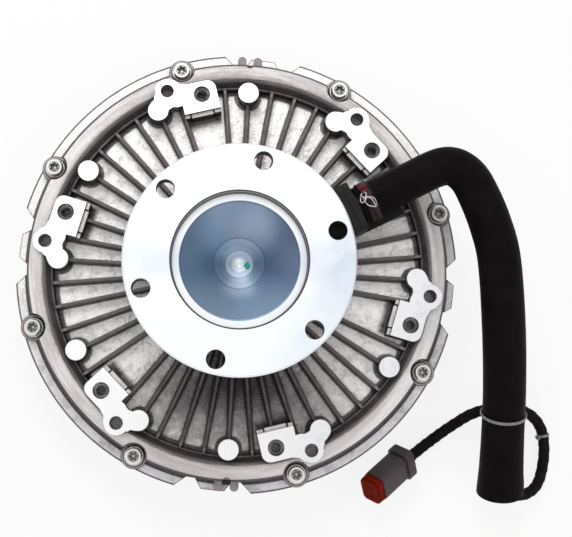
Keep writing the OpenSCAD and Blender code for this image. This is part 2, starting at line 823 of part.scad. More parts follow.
module carrier_bearing_inner() {
    color("lightgray")
        translate([0, 0, z_small])
            race(carrier_shaft_r + small_race_t, carrier_shaft_r, carrier_bearing_w, small_pitch_r,
                carrier_ball_r + 0.2);
}

module carrier_bearing_outer() {
    color("lightgray")
        translate([0, 0, z_small])
            race(carrier_bearing_r, carrier_bearing_r - small_race_t, carrier_bearing_w, small_pitch_r,
                carrier_ball_r + 0.2);
}

module carrier_bearing_balls() {
    color("white")
        translate([0, 0, z_small + carrier_bearing_w / 2])
            balls(small_pitch_r, carrier_ball_r, carrier_ball_count);
}

module carrier_bearing_cage() {
    color("goldenrod")
        translate([0, 0, z_small + 1])
            ball_cage(small_pitch_r, 1.3, carrier_bearing_w - 2, carrier_ball_r, carrier_ball_count);
}

module carrier_retaining_ring() {
    color("dimgray")
        translate([0, 0, z_small - 1.6])
            difference() {
                ring(carrier_shaft_r + 2, carrier_shaft_r - 1.1, 1.6);
                translate([carrier_shaft_r - 3, -4, -1])
                    cube([8, 8, 4]);
            }
}

module coil_housing() {
    top = z_carrier_top;
    color([0.12, 0.12, 0.13])
        difference() {
            union() {
                rotate_extrude($fn = 180)
                    polygon([[carrier_bearing_r - 2, z_small_top], [carrier_bearing_r, z_small_top],
                        [carrier_bearing_r, z_carrier], [core_in, z_carrier], [core_in, z_carrier + core_h],
                        [core_r, z_carrier + core_h], [core_r, z_carrier], [carrier_r, z_carrier],
                        [carrier_r, top - 1], [carrier_r - 1, top], [39, top],
                        [carrier_bearing_r - 2, z_small_top + 2]]);
                rotate(arm_angle) {
                    translate([arm_root, -arm_w / 2, z_carrier])
                        cube([arm_reach - arm_root, arm_w, 4]);
                    translate([arm_root, 0, (z_carrier + top) / 2])
                        bar(arm_reach - arm_root, arm_w, carrier_h, 4);
                    translate([arm_reach - 1, 0, z_arm])
                        rotate([0, 90, 0])
                            cylinder(r = spigot_r, h = spigot_l + 1, $fn = 64);
                    // Cradle under the root of the hose, with a saddle at its end.
                    translate([cradle_r0, -14.5, z_cradle])
                        cube([34, 24, cradle_t]);
                    translate([cradle_r0, -arm_w / 2, z_cradle])
                        cube([arm_reach - cradle_r0, arm_w, 9]);
                    translate([92, -6, z_cradle])
                        cube([8, 12, z_arm - hose_root_r - gap - z_cradle]);
                    for (x = [62, 66, 70])
                        translate([x, -arm_w / 2 + 2, top - 2])
                            cube([1.6, arm_w - 4, 2.6]);
                }
            }
            rotate(arm_angle) {
                // Way of the lead through the arm.
                translate([core_r + 2, 0, z_arm])
                    rotate([0, 90, 0])
                        cylinder(r = lead_r + running_fit, h = 60, $fn = 32);
            }
            rotate(sensor_angle)
                translate([sensor_r, 0, z_carrier - 1])
                    cylinder(r = 2.5, h = 14, $fn = 32);
        }
}

module coil_core() {
    color("dimgray")
        translate([0, 0, z_carrier])
            rotate_extrude($fn = 128)
                polygon([[core_in, 0], [core_in, core_h], [core_r, core_h], [core_r, 0], [core_r - 2.4, 0],
                    [core_r - 2.4, core_h - 2.6], [core_in + 2.4, core_h - 2.6], [core_in + 2.4, 0]]);
}

module coil_winding() {
    color([0.72, 0.4, 0.2])
        translate([0, 0, z_carrier + 0.8])
            ring(core_r - 2.4, core_in + 2.4, core_h - 3.4);
}

module speed_sensor() {
    color([0.2, 0.2, 0.2])
        rotate(sensor_angle)
            translate([sensor_r, 0, z_hub + 1.2])
                cylinder(r = 2.5, h = z_carrier + 13 - z_hub - 1.2, $fn = 32);
}

module formed_hose() {
    color([0.08, 0.08, 0.08])
        hollow_tube(smooth(flat(hose_path), hose_steps), hose_wall, hose_sides);
}

module hose_clamp() {
    r = hose_root_r + 0.05;
    color("rosybrown")
        rotate(arm_angle)
            translate([hose_start + 2.5, 0, z_arm])
                rotate([0, 90, 0]) {
                    ring(r + clamp_t, r, clamp_w);
                    // Ears of the spring band, which stand on top of the hose.
                    for (side = [-1, 1])
                        translate([-r - 3.4, side * 3.2 - 0.6, side < 0 ? 0 : clamp_w / 2])
                            cube([3.6, 1.2, clamp_w / 2 - 0.4]);
                }
}

// The lead runs down the hose, from the arm to a splice near the mouth.
module inner_lead() {
    path = smooth([for (p = flat(hose_path)) if (p[1] > -90) xyz(p)], 3);
    start = [for (r = [core_r + 3, core_r + 16]) [r * cos(arm_angle), r * sin(arm_angle), z_arm]];
    end_point = lead_path[0] + gap * unit(lead_path[0] - lead_path[1]);
    color([0.1, 0.1, 0.1])
        solid_tube(concat(start, path, [lead_path[0] + 8 * unit(lead_path[0] - lead_path[1]), end_point]),
            lead_r - 0.1, lead_sides);
}

module coil_lead() {
    color([0.07, 0.07, 0.07])
        solid_tube(smooth(lead_path, lead_steps), lead_r, lead_sides);
}

// Strap round the hose, with a loop under it that holds the lead.
module hose_tie() {
    p = lead_path[hose_tie_at];
    low = hose_tie_center + hose_tie_r * [0, -hose_tie_dir[2], hose_tie_dir[1]];
    color("gray") {
        along(hose_tie_center - 1.1 * hose_tie_dir, hose_tie_dir)
            rotate([0, 90, 0])
                ring(hose_tie_r + 0.8, hose_tie_r, 2.2);
        translate(p - [1.5, 0, 0])
            rotate([0, 90, 0])
                ring(lead_r + 1.1, lead_r + 0.1, 3);
        translate([p[0] - 1.5, low[1] - 0.9, p[2] + lead_r + 0.2])
            cube([3, 1.6, low[2] - p[2] - lead_r - 0.6]);
    }
}

module lead_tie() {
    d = unit(lead_path[lead_tie_at + 1] - lead_path[lead_tie_at - 1]);
    color("gray")
        along(lead_path[lead_tie_at], d)
            rotate([0, 90, 0])
                ring(lead_r + 0.75, lead_r + 0.1, 1.8);
}

module plug_frame() {
    p = lead_path[len(lead_path) - 1];
    translate([p[0], p[1], plug_z])
        rotate([0, -plug_rise, plug_heading])
            rotate([plug_roll, 0, 0])
                children();
}

module connector_body() {
    bore_w = plug_w - 3.6;
    color([0.29, 0.27, 0.28])
        plug_frame()
            difference() {
                union() {
                    translate([1, 0, 0])
                        bar(plug_collar_l - 1, plug_collar_w, plug_collar_w, 3);
                    bar(plug_seal_x, plug_w, plug_w, 2.6);
                    translate([plug_seal_x - 1, 0, 0])
                        bar(3.6, plug_w - 2.4, plug_w - 2.4, 2);
                    for (y = [-3, 3])
                        translate([plug_collar_l - 1, y - 0.6, plug_w / 2 - 0.5])
                            cube([8, 1.2, 1.1]);
                }
                translate([-1, 0, 0])
                    bar(8, bore_w, bore_w, 2);
                for (y = [-3, 3])
                    translate([3, y, 0])
                        rotate([0, 90, 0])
                            cylinder(r = 1.6, h = plug_l, $fn = 32);
            }
}

module connector_seal() {
    color([0.62, 0.1, 0.03])
        plug_frame()
            translate([plug_seal_x, 0, 0])
                difference() {
                    bar(2.6, plug_w - 0.5, plug_w - 0.5, 2.6);
                    translate([-1, 0, 0])
                        bar(5, plug_w - 2.4, plug_w - 2.4, 2);
                }
}

module wedge_lock() {
    color([0.75, 0.16, 0.02])
        plug_frame()
            translate([plug_seal_x + 2.6, 0, 0])
                difference() {
                    union() {
                        bar(3.2, plug_w - 0.5, plug_w - 0.5, 2.6);
                        translate([3, 0, 0])
                            bar(0.8, plug_w - 2.5, plug_w - 2.5, 2.2);
                    }
                    for (y = [-3, 3])
                        translate([-1, y, 0])
                            rotate([0, 90, 0])
                                cylinder(r = 1.3, h = 8, $fn = 32);
                }
}

module wire_seal() {
    bore_w = plug_w - 3.6;
    color([0.1, 0.1, 0.1])
        plug_frame()
            translate([gap, 0, 0])
                bar(7 - gap, bore_w, bore_w, 2);
}

module contact_sockets() {
    color("gold")
        plug_frame()
            for (y = [-3, 3])
                translate([7, y, 0])
                    rotate([0, 90, 0])
                        difference() {
                            cylinder(r = 1.25, h = plug_l - 9, $fn = 32);
                            translate([0, 0, 10])
                                cylinder(r = 0.8, h = plug_l, $fn = 24);
                        }
}

rear_casing();
front_cover();
casing_seal();
cover_screws();
reservoir_plate();
lever_pin();
wiper_block();
input_shaft();
rotor();
rotor_nut();
main_bearing_inner();
main_bearing_outer();
main_bearing_balls();
main_bearing_cage();
bearing_retaining_ring();
shaft_seal();
tone_ring();
valve_lever();
armature();
return_spring();
carrier_bearing_inner();
carrier_bearing_outer();
carrier_bearing_balls();
carrier_bearing_cage();
carrier_retaining_ring();
coil_housing();
coil_core();
coil_winding();
speed_sensor();
formed_hose();
hose_clamp();
inner_lead();
coil_lead();
hose_tie();
lead_tie();
connector_body();
connector_seal();
wedge_lock();
wire_seal();
contact_sockets();
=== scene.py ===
"""Dresses the viscous fan clutch: finishes, hose, lead, plug, ties, threads and the studio."""

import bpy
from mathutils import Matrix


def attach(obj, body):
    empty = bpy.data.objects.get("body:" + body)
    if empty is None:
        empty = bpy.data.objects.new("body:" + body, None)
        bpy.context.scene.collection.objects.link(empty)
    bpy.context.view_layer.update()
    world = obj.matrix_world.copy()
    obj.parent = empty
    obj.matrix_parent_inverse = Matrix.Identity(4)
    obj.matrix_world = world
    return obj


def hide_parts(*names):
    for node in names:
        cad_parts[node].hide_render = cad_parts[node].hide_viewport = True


bl_info = {
    "name": "Viscous Fan Clutch",
    "version": (1, 0, 0),
    "blender": (4, 5, 0),
    "location": "View3D > Sidebar > Fan Clutch",
    "description": "Finishes the packed fan clutch and sets up its studio",
    "category": "Object",
}

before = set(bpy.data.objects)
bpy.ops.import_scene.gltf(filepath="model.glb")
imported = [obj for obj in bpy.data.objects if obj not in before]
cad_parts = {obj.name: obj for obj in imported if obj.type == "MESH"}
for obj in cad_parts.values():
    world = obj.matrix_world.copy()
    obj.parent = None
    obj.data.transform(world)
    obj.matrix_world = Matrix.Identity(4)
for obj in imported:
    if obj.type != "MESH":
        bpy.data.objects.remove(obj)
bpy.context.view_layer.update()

import math

import bmesh
import bpy
from bpy.props import FloatProperty, FloatVectorProperty, IntProperty, PointerProperty
from bpy.types import Operator, Panel, PropertyGroup
from mathutils import Matrix, Vector

MM = 0.001
DEGREE = math.pi / 180

# Like places round the axis: how many, the first one's angle in degrees and their distance in millimetres.
SCREWS = (8, 16, 123.5)
PAD_HOLES = (6, 52, 113)
FAN_HOLES = (6, 42, 105.5)
LOBES = (6, 57, 104.5)
DISCS = (6, 27, 104.5)

# Spokes round the axis: how many, and the first one's angle in degrees. Bays are gaps with no fin.
FINS = (48, 27)
BAYS = (3, 102)
LEDGES = (6, 43.25)

# Bands that the finishes tell apart, in millimetres above the floor (Z) or from the axis (R).
EAR_Z = (39.6, 39.9)
SEAT_Z = (43.3, 43.8)
FLOOR_Z = (43.4, 44.4)
LIP_Z = (45, 45.6)
LIP_R = (105.0, 106.9)
FIN_Z = (50.2, 51.3)
LEDGE_Z = (52.0, 54.9)
PAD_Z = (55.8, 55.95)
WELL_R = (107.2, 107.8)
SLOPE_R = (107.6, 111.2)
COVER_LINE_R = (121.6, 122.6)
SCREW_COLLAR_Z = (46.7, 47.0)
SCREW_SOCKET_Z = (47.3, 48.7)
SCREW_FACE_Z = (49.0, 49.4)
BOWL_Z = (70, 72)
BOWL_R = (33.35, 33.55)
GROOVE_Z = (96.5, 97.2)
GROOVE_R = (37.2, 38.35)
FLANGE_Z = (93.5, 94.5)
FLANGE_TOP_Z = (103.0, 103.15)

# The carrier's arm and the clamp on it, and the hose's centre line in millimetres with its outer radius.
ARM_ANGLE = 26.5
ARM_HEIGHT = 78
CLAMP_AT = 78.5
CLAMP_RADIUS = 10.95
HOSE_ROOT = [(r * math.cos(math.radians(ARM_ANGLE)), r * math.sin(math.radians(ARM_ANGLE)), ARM_HEIGHT, 10.9)
             for r in (76, 90, 110)]
HOSE_ROUTE = HOSE_ROOT + [
    (113.5, 56.3, 78, 11), (122.5, 57, 78, 11.2), (130.5, 52, 77.6, 11.6), (136.5, 42.5, 77, 11.9),
    (144, 24.5, 75.5, 12.2), (149.5, 3.5, 72.5, 12.4), (153.5, -35, 63, 12.6), (156.5, -70, 48, 12.6),
    (157.8, -95, 35.5, 12.7), (158.6, -115, 26, 13.25), (158.8, -120.5, 23.4, 13.6),
    (159, -124, 21.7, 13.9), (159.2, -131, 18.4, 14.3)]

# Route of the coil lead in millimetres, from inside the hose's mouth to the plug.
LEAD_ROUTE = [
    (156, -105, 30.6), (157.4, -112, 27.4), (158.5, -118, 24.6), (160.4, -124.2, 21.1),
    (164, -129.6, 17.6), (169.4, -132.8, 14.2), (175.8, -133, 10.9), (181.8, -130.2, 8.1),
    (186.2, -124.8, 5.9), (188.9, -116.4, 4.7), (190.2, -107, 4.2), (189.6, -97.4, 4.6),
    (186.2, -89.6, 6.2), (180, -84, 8.8), (172.6, -81.4, 11.8), (165, -80.6, 14.8),
    (157.2, -80.8, 16.2), (149.6, -82, 15), (142.4, -84.8, 11.8), (135.8, -89, 8), (129.2, -93.6, 5),
    (122.6, -98.4, 3.8), (116.4, -102.8, 4.2), (110.4, -107.2, 6.2), (104.6, -111.4, 9.2)]
LEAD_STEPS = 8

# Points of that route where the small tie and the strap hold the lead, and the strap's ring round the hose.
LEAD_TIE_AT = 11
HOSE_TIE_AT = 16
HOSE_TIE_CENTER = Vector((157.2, -84, 41.1))
HOSE_TIE_DIRECTION = Vector((0, -0.894, -0.448))
HOSE_TIE_RADIUS = 13.05

# The plug's rear end, its roll, rise and heading in degrees, and how far its section is raised and stretched.
PLUG_REAR = (104.6, -111.4, 9.7)
PLUG_TURNS = (48.0, -26.0, 218.3)
PLUG_LIFT = 1.4
PLUG_STRETCH = 1.2


def measure(name, description, default, low, high):
    return FloatProperty(name=name, description=description, default=default, min=low, max=high,
                         unit="LENGTH")


class ClutchSizes(PropertyGroup):
    hose_wall: measure("Hose wall", "Thickness of the hose's wall", 0.0024, 0.001, 0.003)
    lead_diameter: measure("Lead diameter", "Diameter of the coil lead's sleeve", 0.007, 0.005, 0.008)
    band_width: measure("Clamp band", "Width of the hose clamp's band", 0.006, 0.005, 0.01)
    plug_width: measure("Plug width", "Width across the plug's body", 0.014, 0.012, 0.016)
    plug_collar: measure("Plug collar", "Width across the plug's rear collar", 0.0164, 0.014, 0.018)
    plug_length: measure("Plug length", "Length of the plug", 0.036, 0.034, 0.04)
    thread_pitch: measure("Thread pitch", "Pitch of the threads in the fan holes", 0.00125, 0.001, 0.0015)
    hose_sides: IntProperty(name="Hose sides", description="Number of sides round the hose",
                            default=56, min=24, max=96)


def tint(name, description, colour):
    return FloatVectorProperty(name=name, description=description, default=colour, size=3,
                               min=0, max=1, subtype="COLOR")


class ClutchColours(PropertyGroup):
    pale_metal: tint("Pale cast metal", "Cast aluminium where it was blasted clean", (0.93, 0.905, 0.9))
    cast_metal: tint("Cast metal", "Cast aluminium of the rim", (0.52, 0.47, 0.475))
    # Mauve-grey of the casting's patches, also used as painted shade on its lower side, on the rim's inner
    # half and on fin tops.
    patch_and_shade_metal: tint("Shaded cast metal", "Mauve-grey patches of the casting", (0.26, 0.225, 0.235))
    # Painted shade: this dark colour stands in for shade in corners, on flanks and walls, along edges, on fin
    # tops and on the lower side.
    painted_shade_metal: tint("Dark cast metal", "Cast skin in corners and on flanks", (0.035, 0.027, 0.028))
    milled_metal: tint("Milled metal", "Machined pads and discs", (0.9, 0.9, 0.9))
    steel: tint("Turned steel", "Turned face of the hub flange", (0.9, 0.925, 0.94))
    bowl: tint("Bowl", "Steel of the bowl, which looks blue", (0.195, 0.29, 0.42))
    plated: tint("Plated steel", "Screws and small steel pieces", (0.8, 0.79, 0.78))
    rubber: tint("Hose rubber", "Black rubber of the hose", (0.004, 0.003, 0.0035))
    moulding: tint("Black moulding", "Plastic of the coil carrier", (0.006, 0.0055, 0.0055))
    sleeve: tint("Lead sleeve", "Black sleeve of the coil lead", (0.006, 0.005, 0.005))
    plug: tint("Plug moulding", "Dark warm grey of the plug", (0.058, 0.045, 0.049))
    plug_front: tint("Plug front", "Orange-red front of the plug", (0.115, 0.0045, 0.001))
    plug_seal: tint("Plug seal", "Red silicone of the plug's seal", (0.12, 0.005, 0.003))
    tie: tint("Ties", "Grey plastic of the ties", (0.2, 0.2, 0.21))
    clamp: tint("Clamp band", "Dark brown coat of the hose clamp", (0.012, 0.006, 0.006))
    brass: tint("Brass", "Bearing cages and contacts", (0.6, 0.42, 0.16))
    copper: tint("Copper", "Winding of the coil", (0.5, 0.2, 0.07))
    floor: tint("Floor", "Floor under the clutch", (0.9, 0.9, 0.9))


def position(name, description, default):
    return FloatVectorProperty(name=name, description=description, default=default, size=3,
                               subtype="TRANSLATION", unit="LENGTH")


def wattage(name, description, default):
    return FloatProperty(name=name, description=description, default=default, min=0, subtype="POWER",
                         unit="POWER")


class ClutchStudio(PropertyGroup):
    camera_place: position("Camera place", "Where the camera stands", (-0.0115, -0.0816, 0.808))
    camera_target: position("Camera target", "Point in the middle of the picture", (0.0276, 0.0002, 0.056))
    lens: FloatProperty(name="Lens", description="Focal length in millimetres", default=81.9, min=20, max=200)
    key_power: wattage("Key lamp", "Power of the large lamp above the top of the picture", 3.2)
    fill_power: wattage("Fill lamp", "Power of the lamp at the lower right", 0.8)
    sky: FloatProperty(name="Sky", description="Strength of the even light from all round",
                       default=0.8, min=0, max=2)


class Socket:
    """An output of a material's nodes that can stand in sums."""

    def __init__(self, finish, output):
        self.finish = finish
        self.output = output

    def __add__(self, other):
        return self.finish.maths("ADD", self, other)

    def __radd__(self, other):
        return self.finish.maths("ADD", other, self)

    def __sub__(self, other):
        return self.finish.maths("SUBTRACT", self, other)

    def __rsub__(self, other):
        return self.finish.maths("SUBTRACT", other, self)

    def __mul__(self, other):
        return self.finish.maths("MULTIPLY", self, other)

    def __truediv__(self, other):
        return self.finish.maths("DIVIDE", self, other)

    def __pow__(self, other):
        return self.finish.maths("POWER", self, other)

    def __abs__(self):
        return self.finish.maths("ABSOLUTE", self)


class Finish:
    """A material with the nodes that vary it over a surface, in millimetres of the object's own frame."""

    def __init__(self, name, **even):
        self.material = bpy.data.materials.new(name)
        self.material.use_nodes = True
        self.tree = self.material.node_tree
        self.shader = self.tree.nodes["Principled BSDF"]
        for socket, value in even.items():
            self.shader.inputs[socket.replace("_", " ")].default_value = value
        self.place = self.node("ShaderNodeTexCoord", output="Object")
        self.x, self.y, self.z = (value * 1000 for value in self.parts(self.place))
        self.r = (self.x * self.x + self.y * self.y) ** 0.5
        self.up = self.parts(self.node("ShaderNodeTexCoord", output="Normal"))[2]

    def node(self, kind, inputs=None, output=0, **settings):
        """Adds a node: its settings come first, then the values or links of its sockets."""
        made = self.tree.nodes.new(kind)
        for key, value in settings.items():
            setattr(made, key, value)
        for socket, value in (inputs or {}).items():
            if isinstance(value, Socket):
                self.tree.links.new(value.output, made.inputs[socket])
            else:
                made.inputs[socket].default_value = value
        return Socket(self, made.outputs[output])

    def parts(self, vector):
        """X, Y and Z of a vector."""
        made = self.node("ShaderNodeSeparateXYZ", {0: vector}).output.node
        return [Socket(self, output) for output in made.outputs]

    def maths(self, operation, *values):
        return self.node("ShaderNodeMath", dict(enumerate(values)), operation=operation)

    def step(self, value, low, high):
        """0 below low, 1 above high, smooth between them."""
        return self.node("ShaderNodeMapRange", {"Value": value, "From Min": low, "From Max": high},
                         interpolation_type="SMOOTHSTEP")

    def below(self, value, low, high):
        """1 below low, 0 above high."""
        return 1 - self.step(value, low, high)

    def between(self, value, low, high, soft=0.1):
        """1 from low to high, with slopes of width soft outside them."""
        return self.step(value, low - soft, low) * self.below(value, high, high + soft)

    def noise(self, size, detail=3.0, rough=0.6, at=None, low=0.34, high=0.66):
        """Cloudy noise from 0 to 1 with blotches of about size millimetres."""
        grey = self.node("ShaderNodeTexNoise", {"Vector": at or self.place, "Scale": 1000 / size,
                                                "Detail": detail, "Roughness": rough})
        return self.step(grey, low, high)

    def edges(self, width, sharp=0.12):
        """1 along edges of the mesh, over about width millimetres on both sides."""
        rounded = self.node("ShaderNodeBevel", {"Radius": width * MM}, samples=6)
        true = self.node("ShaderNodeNewGeometry", output="True Normal")
        agree = self.node("ShaderNodeVectorMath", {0: rounded, 1: true}, "Value", operation="DOT_PRODUCT")
        return self.step(1 - agree, 0.02, sharp)

    def folded(self, count, start):
        """Angle from the nearest of count spokes round the axis, in degrees."""
        turn = self.maths("ARCTAN2", self.y, self.x) * (180 / math.pi)
        return self.maths("FLOORED_MODULO", turn - (start - 180 / count), 360 / count) - 180 / count

    def beside(self, count, start):
        """Distance round the arc from the nearest of count spokes."""
        return abs(self.folded(count, start)) * self.r * DEGREE

    def facing(self, count, start):
        """Distances along and across the nearest of count spokes."""
        turn = self.folded(count, start) * DEGREE
        return self.r * self.maths("COSINE", turn), self.r * self.maths("SINE", turn)

    def near(self, count, start, radius):
        """Distance from the nearest of count points on a circle round the axis."""
        along, across = self.facing(count, start)
        short = along - radius
        return (across * across + short * short) ** 0.5

    def streaks(self, across, along):
        """Streaks round the axis: across and along are their sizes in millimetres on the rim."""
        turn = self.maths("ARCTAN2", self.y, self.x)
        spread = 115 / along
        at = self.node("ShaderNodeCombineXYZ", {0: self.r / across, 1: self.maths("COSINE", turn) * spread,
                                                2: self.maths("SINE", turn) * spread})
        return self.noise(1000, 4, 0.6, at=at)

    def stretched(self, x, y, z):
        """The place with its axes scaled, for noise that is drawn out along one of them."""
        return self.node("ShaderNodeVectorMath", {0: self.place, 1: (x, y, z)}, operation="MULTIPLY")

    def mix(self, amount, first, second):
        """Colour that goes from first to second as amount goes from 0 to 1."""
        return self.node("ShaderNodeMix", {0: amount, 6: rgba(first), 7: rgba(second)}, 2, data_type="RGBA")

    def layers(self, base, *coats):
        """Lays coats over a base, one after another: each is an amount and a colour."""
        for amount, colour in coats:
            base = self.mix(amount, base, colour)
        return base

    def set(self, **varying):
        for socket, value in varying.items():
            self.tree.links.new(value.output, self.shader.inputs[socket.replace("_", " ")])

    def bump(self, height, depth):
        """Raises the surface by up to depth millimetres where height is 1."""
        self.set(Normal=self.node("ShaderNodeBump", {"Height": height, "Distance": depth * MM}))


def rgba(colour):
    return colour if isinstance(colour, Socket) else (*colour, 1.0)


def scaled(colour, share, more=0.0):
    """The colour made darker or paler."""
    return tuple(min(1, v * share + more) for v in colour)


def colours():
    return bpy.context.scene.clutch_colours


def sizes():
    return bpy.context.scene.clutch_sizes


def seen_rays(tree):
    """1 for rays to the camera, straight or by a mirror or glass, and 0 for those that light things."""
    rays = tree.nodes.new("ShaderNodeLightPath").outputs
    seen = rays["Is Camera Ray"]
    for name in ("Is Glossy Ray", "Is Transmission Ray"):
        most = tree.nodes.new("ShaderNodeMath")
        most.operation = "MAXIMUM"
        tree.links.new(seen, most.inputs[0])
        tree.links.new(rays[name], most.inputs[1])
        seen = most.outputs[0]
    return seen


def cast_casing(name):
    """Cast aluminium of the rear casing: bright floors, mauve rim and milled pads, with painted shade on
    fins, corners and the lower side.
    """
    c = colours()
    f = Finish(name, Specular_IOR_Level=0.3)
    blotch = f.noise(8, 4, 0.65)
    speck = f.noise(1.2, 3, 0.7)
    smudge = f.noise(5.5, 5, 0.72, low=0.47, high=0.66)
    streak = f.streaks(2.6, 26)
    line = f.edges(0.8)
    # Painted light: the upper side counts as lit and stays pale, the lower side gets painted shade through
    # unlit.
    lit = f.step(f.y + abs(f.x) * 0.75, -66, -2)
    unlit = 1 - lit
    milled = f.step(f.up, 0.9, 0.98) * f.step(f.z, *PAD_Z)
    flank = f.below(abs(f.up), 0.35, 0.85)
    inside = f.below(f.r, *WELL_R)
    low = f.below(f.z, *FLOOR_Z)
    hole = f.maths("MAXIMUM", f.below(f.near(*PAD_HOLES), 4.0, 4.3),
                   f.below(f.near(*FAN_HOLES), 3.5, 3.9))

    # Floors between the fins: painted shade at the fins' roots, round the discs and lobes, under the ledges
    # and on the lower side, darkest there near the hub; dark smudges of dirt, painted fainter on the lit
    # side.
    # Walls above the floor get painted shade, all but a paler lip at their top.
    bay = f.below(f.beside(*BAYS), 5.0, 5.6)
    from_fin = f.beside(*FINS) + bay * 9
    near_side = f.maths("MAXIMUM", 3.3 + unlit * f.below(f.r, 62, 98) * 1.1 - from_fin, 0)
    near_end = f.maths("MAXIMUM", f.r - 103.7, 0)
    root = f.step((near_side * near_side + near_end * near_end) ** 0.5, 0.8, 2.2)
    near_disc = f.maths("MINIMUM", f.near(*LOBES), f.near(*DISCS))
    along, across = f.facing(*LEDGES)
    under = f.step(along, 87.5, 91.5) * f.below(abs(across), 9.5, 12.5)
    corner = f.maths("MAXIMUM", root, f.maths("MAXIMUM", f.below(near_disc, 7.6, 8.8), under))
    lip = f.between(f.r, *LIP_R) * f.step(f.z, *LIP_Z) * f.step(f.up, 0.6, 0.9)
    floor = f.layers(
        f.mix(blotch * 0.16 + speck * 0.1, c.pale_metal, c.cast_metal),
        (smudge * (0.62 - lit * 0.18), c.patch_and_shade_metal),
        (unlit * (0.5 + blotch * 0.4 - f.step(f.r, 84, 104) * 0.25), c.patch_and_shade_metal),
        (unlit * (0.9 - f.step(f.r, 66, 103) * 0.72), c.painted_shade_metal),
        (corner * (0.86 + smudge * 0.1), c.painted_shade_metal),
        (1 - low, f.mix(0.3 + lip * 0.7, c.painted_shade_metal, c.cast_metal)))

    # Rim: painted shade toward its inner edge and on the lower side, and a dark slope inside painted as
    # shade;
    # darker towards the top and the lower left, and on the tabs.
    rim = f.layers(
        f.mix(0.3 + streak * 0.25 + speck * 0.08, c.pale_metal, c.cast_metal),
        (f.below(f.r, 110.5, 119.5) * (0.5 + streak * 0.2) + unlit * 0.22, c.patch_and_shade_metal),
        (f.step(f.y, 60, 110) * (0.3 + streak * 0.25), c.patch_and_shade_metal),
        (f.step(f.x * -0.7 - f.y * 0.7, 45, 105) * streak * 0.25, c.patch_and_shade_metal),
        (f.step(f.r, 122.9, 123.3) * 0.95, c.patch_and_shade_metal),
        (f.between(f.r, *SLOPE_R, 1.6) * (0.74 + blotch * 0.12), c.painted_shade_metal))

    # Fin tops painted dark as shade, pale ledges, a line of painted shade where the cover begins, painted
    # shade on walls, screw seats with painted shade round the collar and at their outer edge, milled faces
    # with painted shade on the lower side and greyer to the lower right, painted shade along edges, and
    # holes.
    fin_top = f.between(f.z, *FIN_Z) * inside
    ledge = f.between(f.z, *LEDGE_Z) * f.step(f.up, 0.6, 0.9) * inside
    from_screw = f.near(*SCREWS)
    seat = f.between(f.z, *SEAT_Z) * f.below(from_screw, 7.8, 8.0)
    seat_ring = f.between(from_screw, 6.7, 7.3, 0.3)
    milling = f.noise(0.6, 2, 0.5, at=f.stretched(1, 0.05, 1))
    base = f.layers(
        rim,
        (inside, floor),
        (fin_top * 0.8, f.mix(0.45 + blotch * 0.25 + unlit * 0.25, c.patch_and_shade_metal, c.painted_shade_metal)),
        (ledge, f.mix(0.35 + blotch * 0.3, c.pale_metal, c.cast_metal)),
        (f.between(f.r, *COVER_LINE_R, 0.4) * 0.85, c.painted_shade_metal),
        (flank * (0.88 - f.step(f.r, 120, 122) * 0.2), c.painted_shade_metal),
        (seat, f.mix(seat_ring, c.painted_shade_metal, f.mix(0.55, c.cast_metal, c.patch_and_shade_metal))),
        (milled, f.mix(milling * 0.06 + unlit * 0.1, c.milled_metal, c.cast_metal)),
        (milled * f.step(f.x - f.y * 0.6, 70, 130) * (0.4 + smudge * 0.35), (0.58, 0.59, 0.64)),
        (line * (0.8 - milled * 0.45), c.painted_shade_metal),
        (hole * (1 - milled), f.mix(speck * 0.5, c.patch_and_shade_metal, c.pale_metal)))
    f.set(Base_Color=base, Roughness=0.42 + speck * 0.12 - inside * low * 0.12 - milled * 0.1,
          Metallic=f.step(inside * low * 0.4 + milled + hole + 0.6, 0, 1))
    f.bump((speck * 0.7 + blotch * 0.6) * (1 - milled), 0.16)


def cast_cover(name):
    """Cast aluminium of the front cover: pale ears with a dark edge, dark flanks and fins, all painted shade.
    """
    c = colours()
    f = Finish(name, Metallic=0.85, Specular_IOR_Level=0.3)
    blotch = f.noise(9, 4, 0.6, low=0.45, high=0.7)
    speck = f.noise(1.2, 3, 0.7)
    # Painted light: unlit is the lower right, which gets lilac and mauve painted shade.
    unlit = f.below(f.y * 0.9 - f.x * 0.3, -40, 60)
    flank = f.below(abs(f.up), 0.35, 0.85)
    ear = f.step(f.z, *EAR_Z)
    # The dark lines at the ears' inner and outer edges, on the flanks and along edges are painted shade.
    base = f.layers(
        f.mix(blotch * 0.2 + speck * 0.1, c.pale_metal, c.cast_metal),
        (unlit * 0.45, (0.5, 0.49, 0.55)),
        (unlit * blotch * 0.4, c.patch_and_shade_metal),
        (ear * f.between(f.r, 122.5, 125.0, 0.5) * 0.9, c.painted_shade_metal),
        (flank * (0.35 + blotch * 0.15) + ear * f.step(f.r, 129.3, 129.8) * 0.75, c.painted_shade_metal),
        (f.edges(1.5, 0.07) * 0.9, c.painted_shade_metal))
    f.set(Base_Color=base, Roughness=0.5 + speck * 0.18)
    f.bump(speck * 0.7 + blotch * 0.6, 0.14)


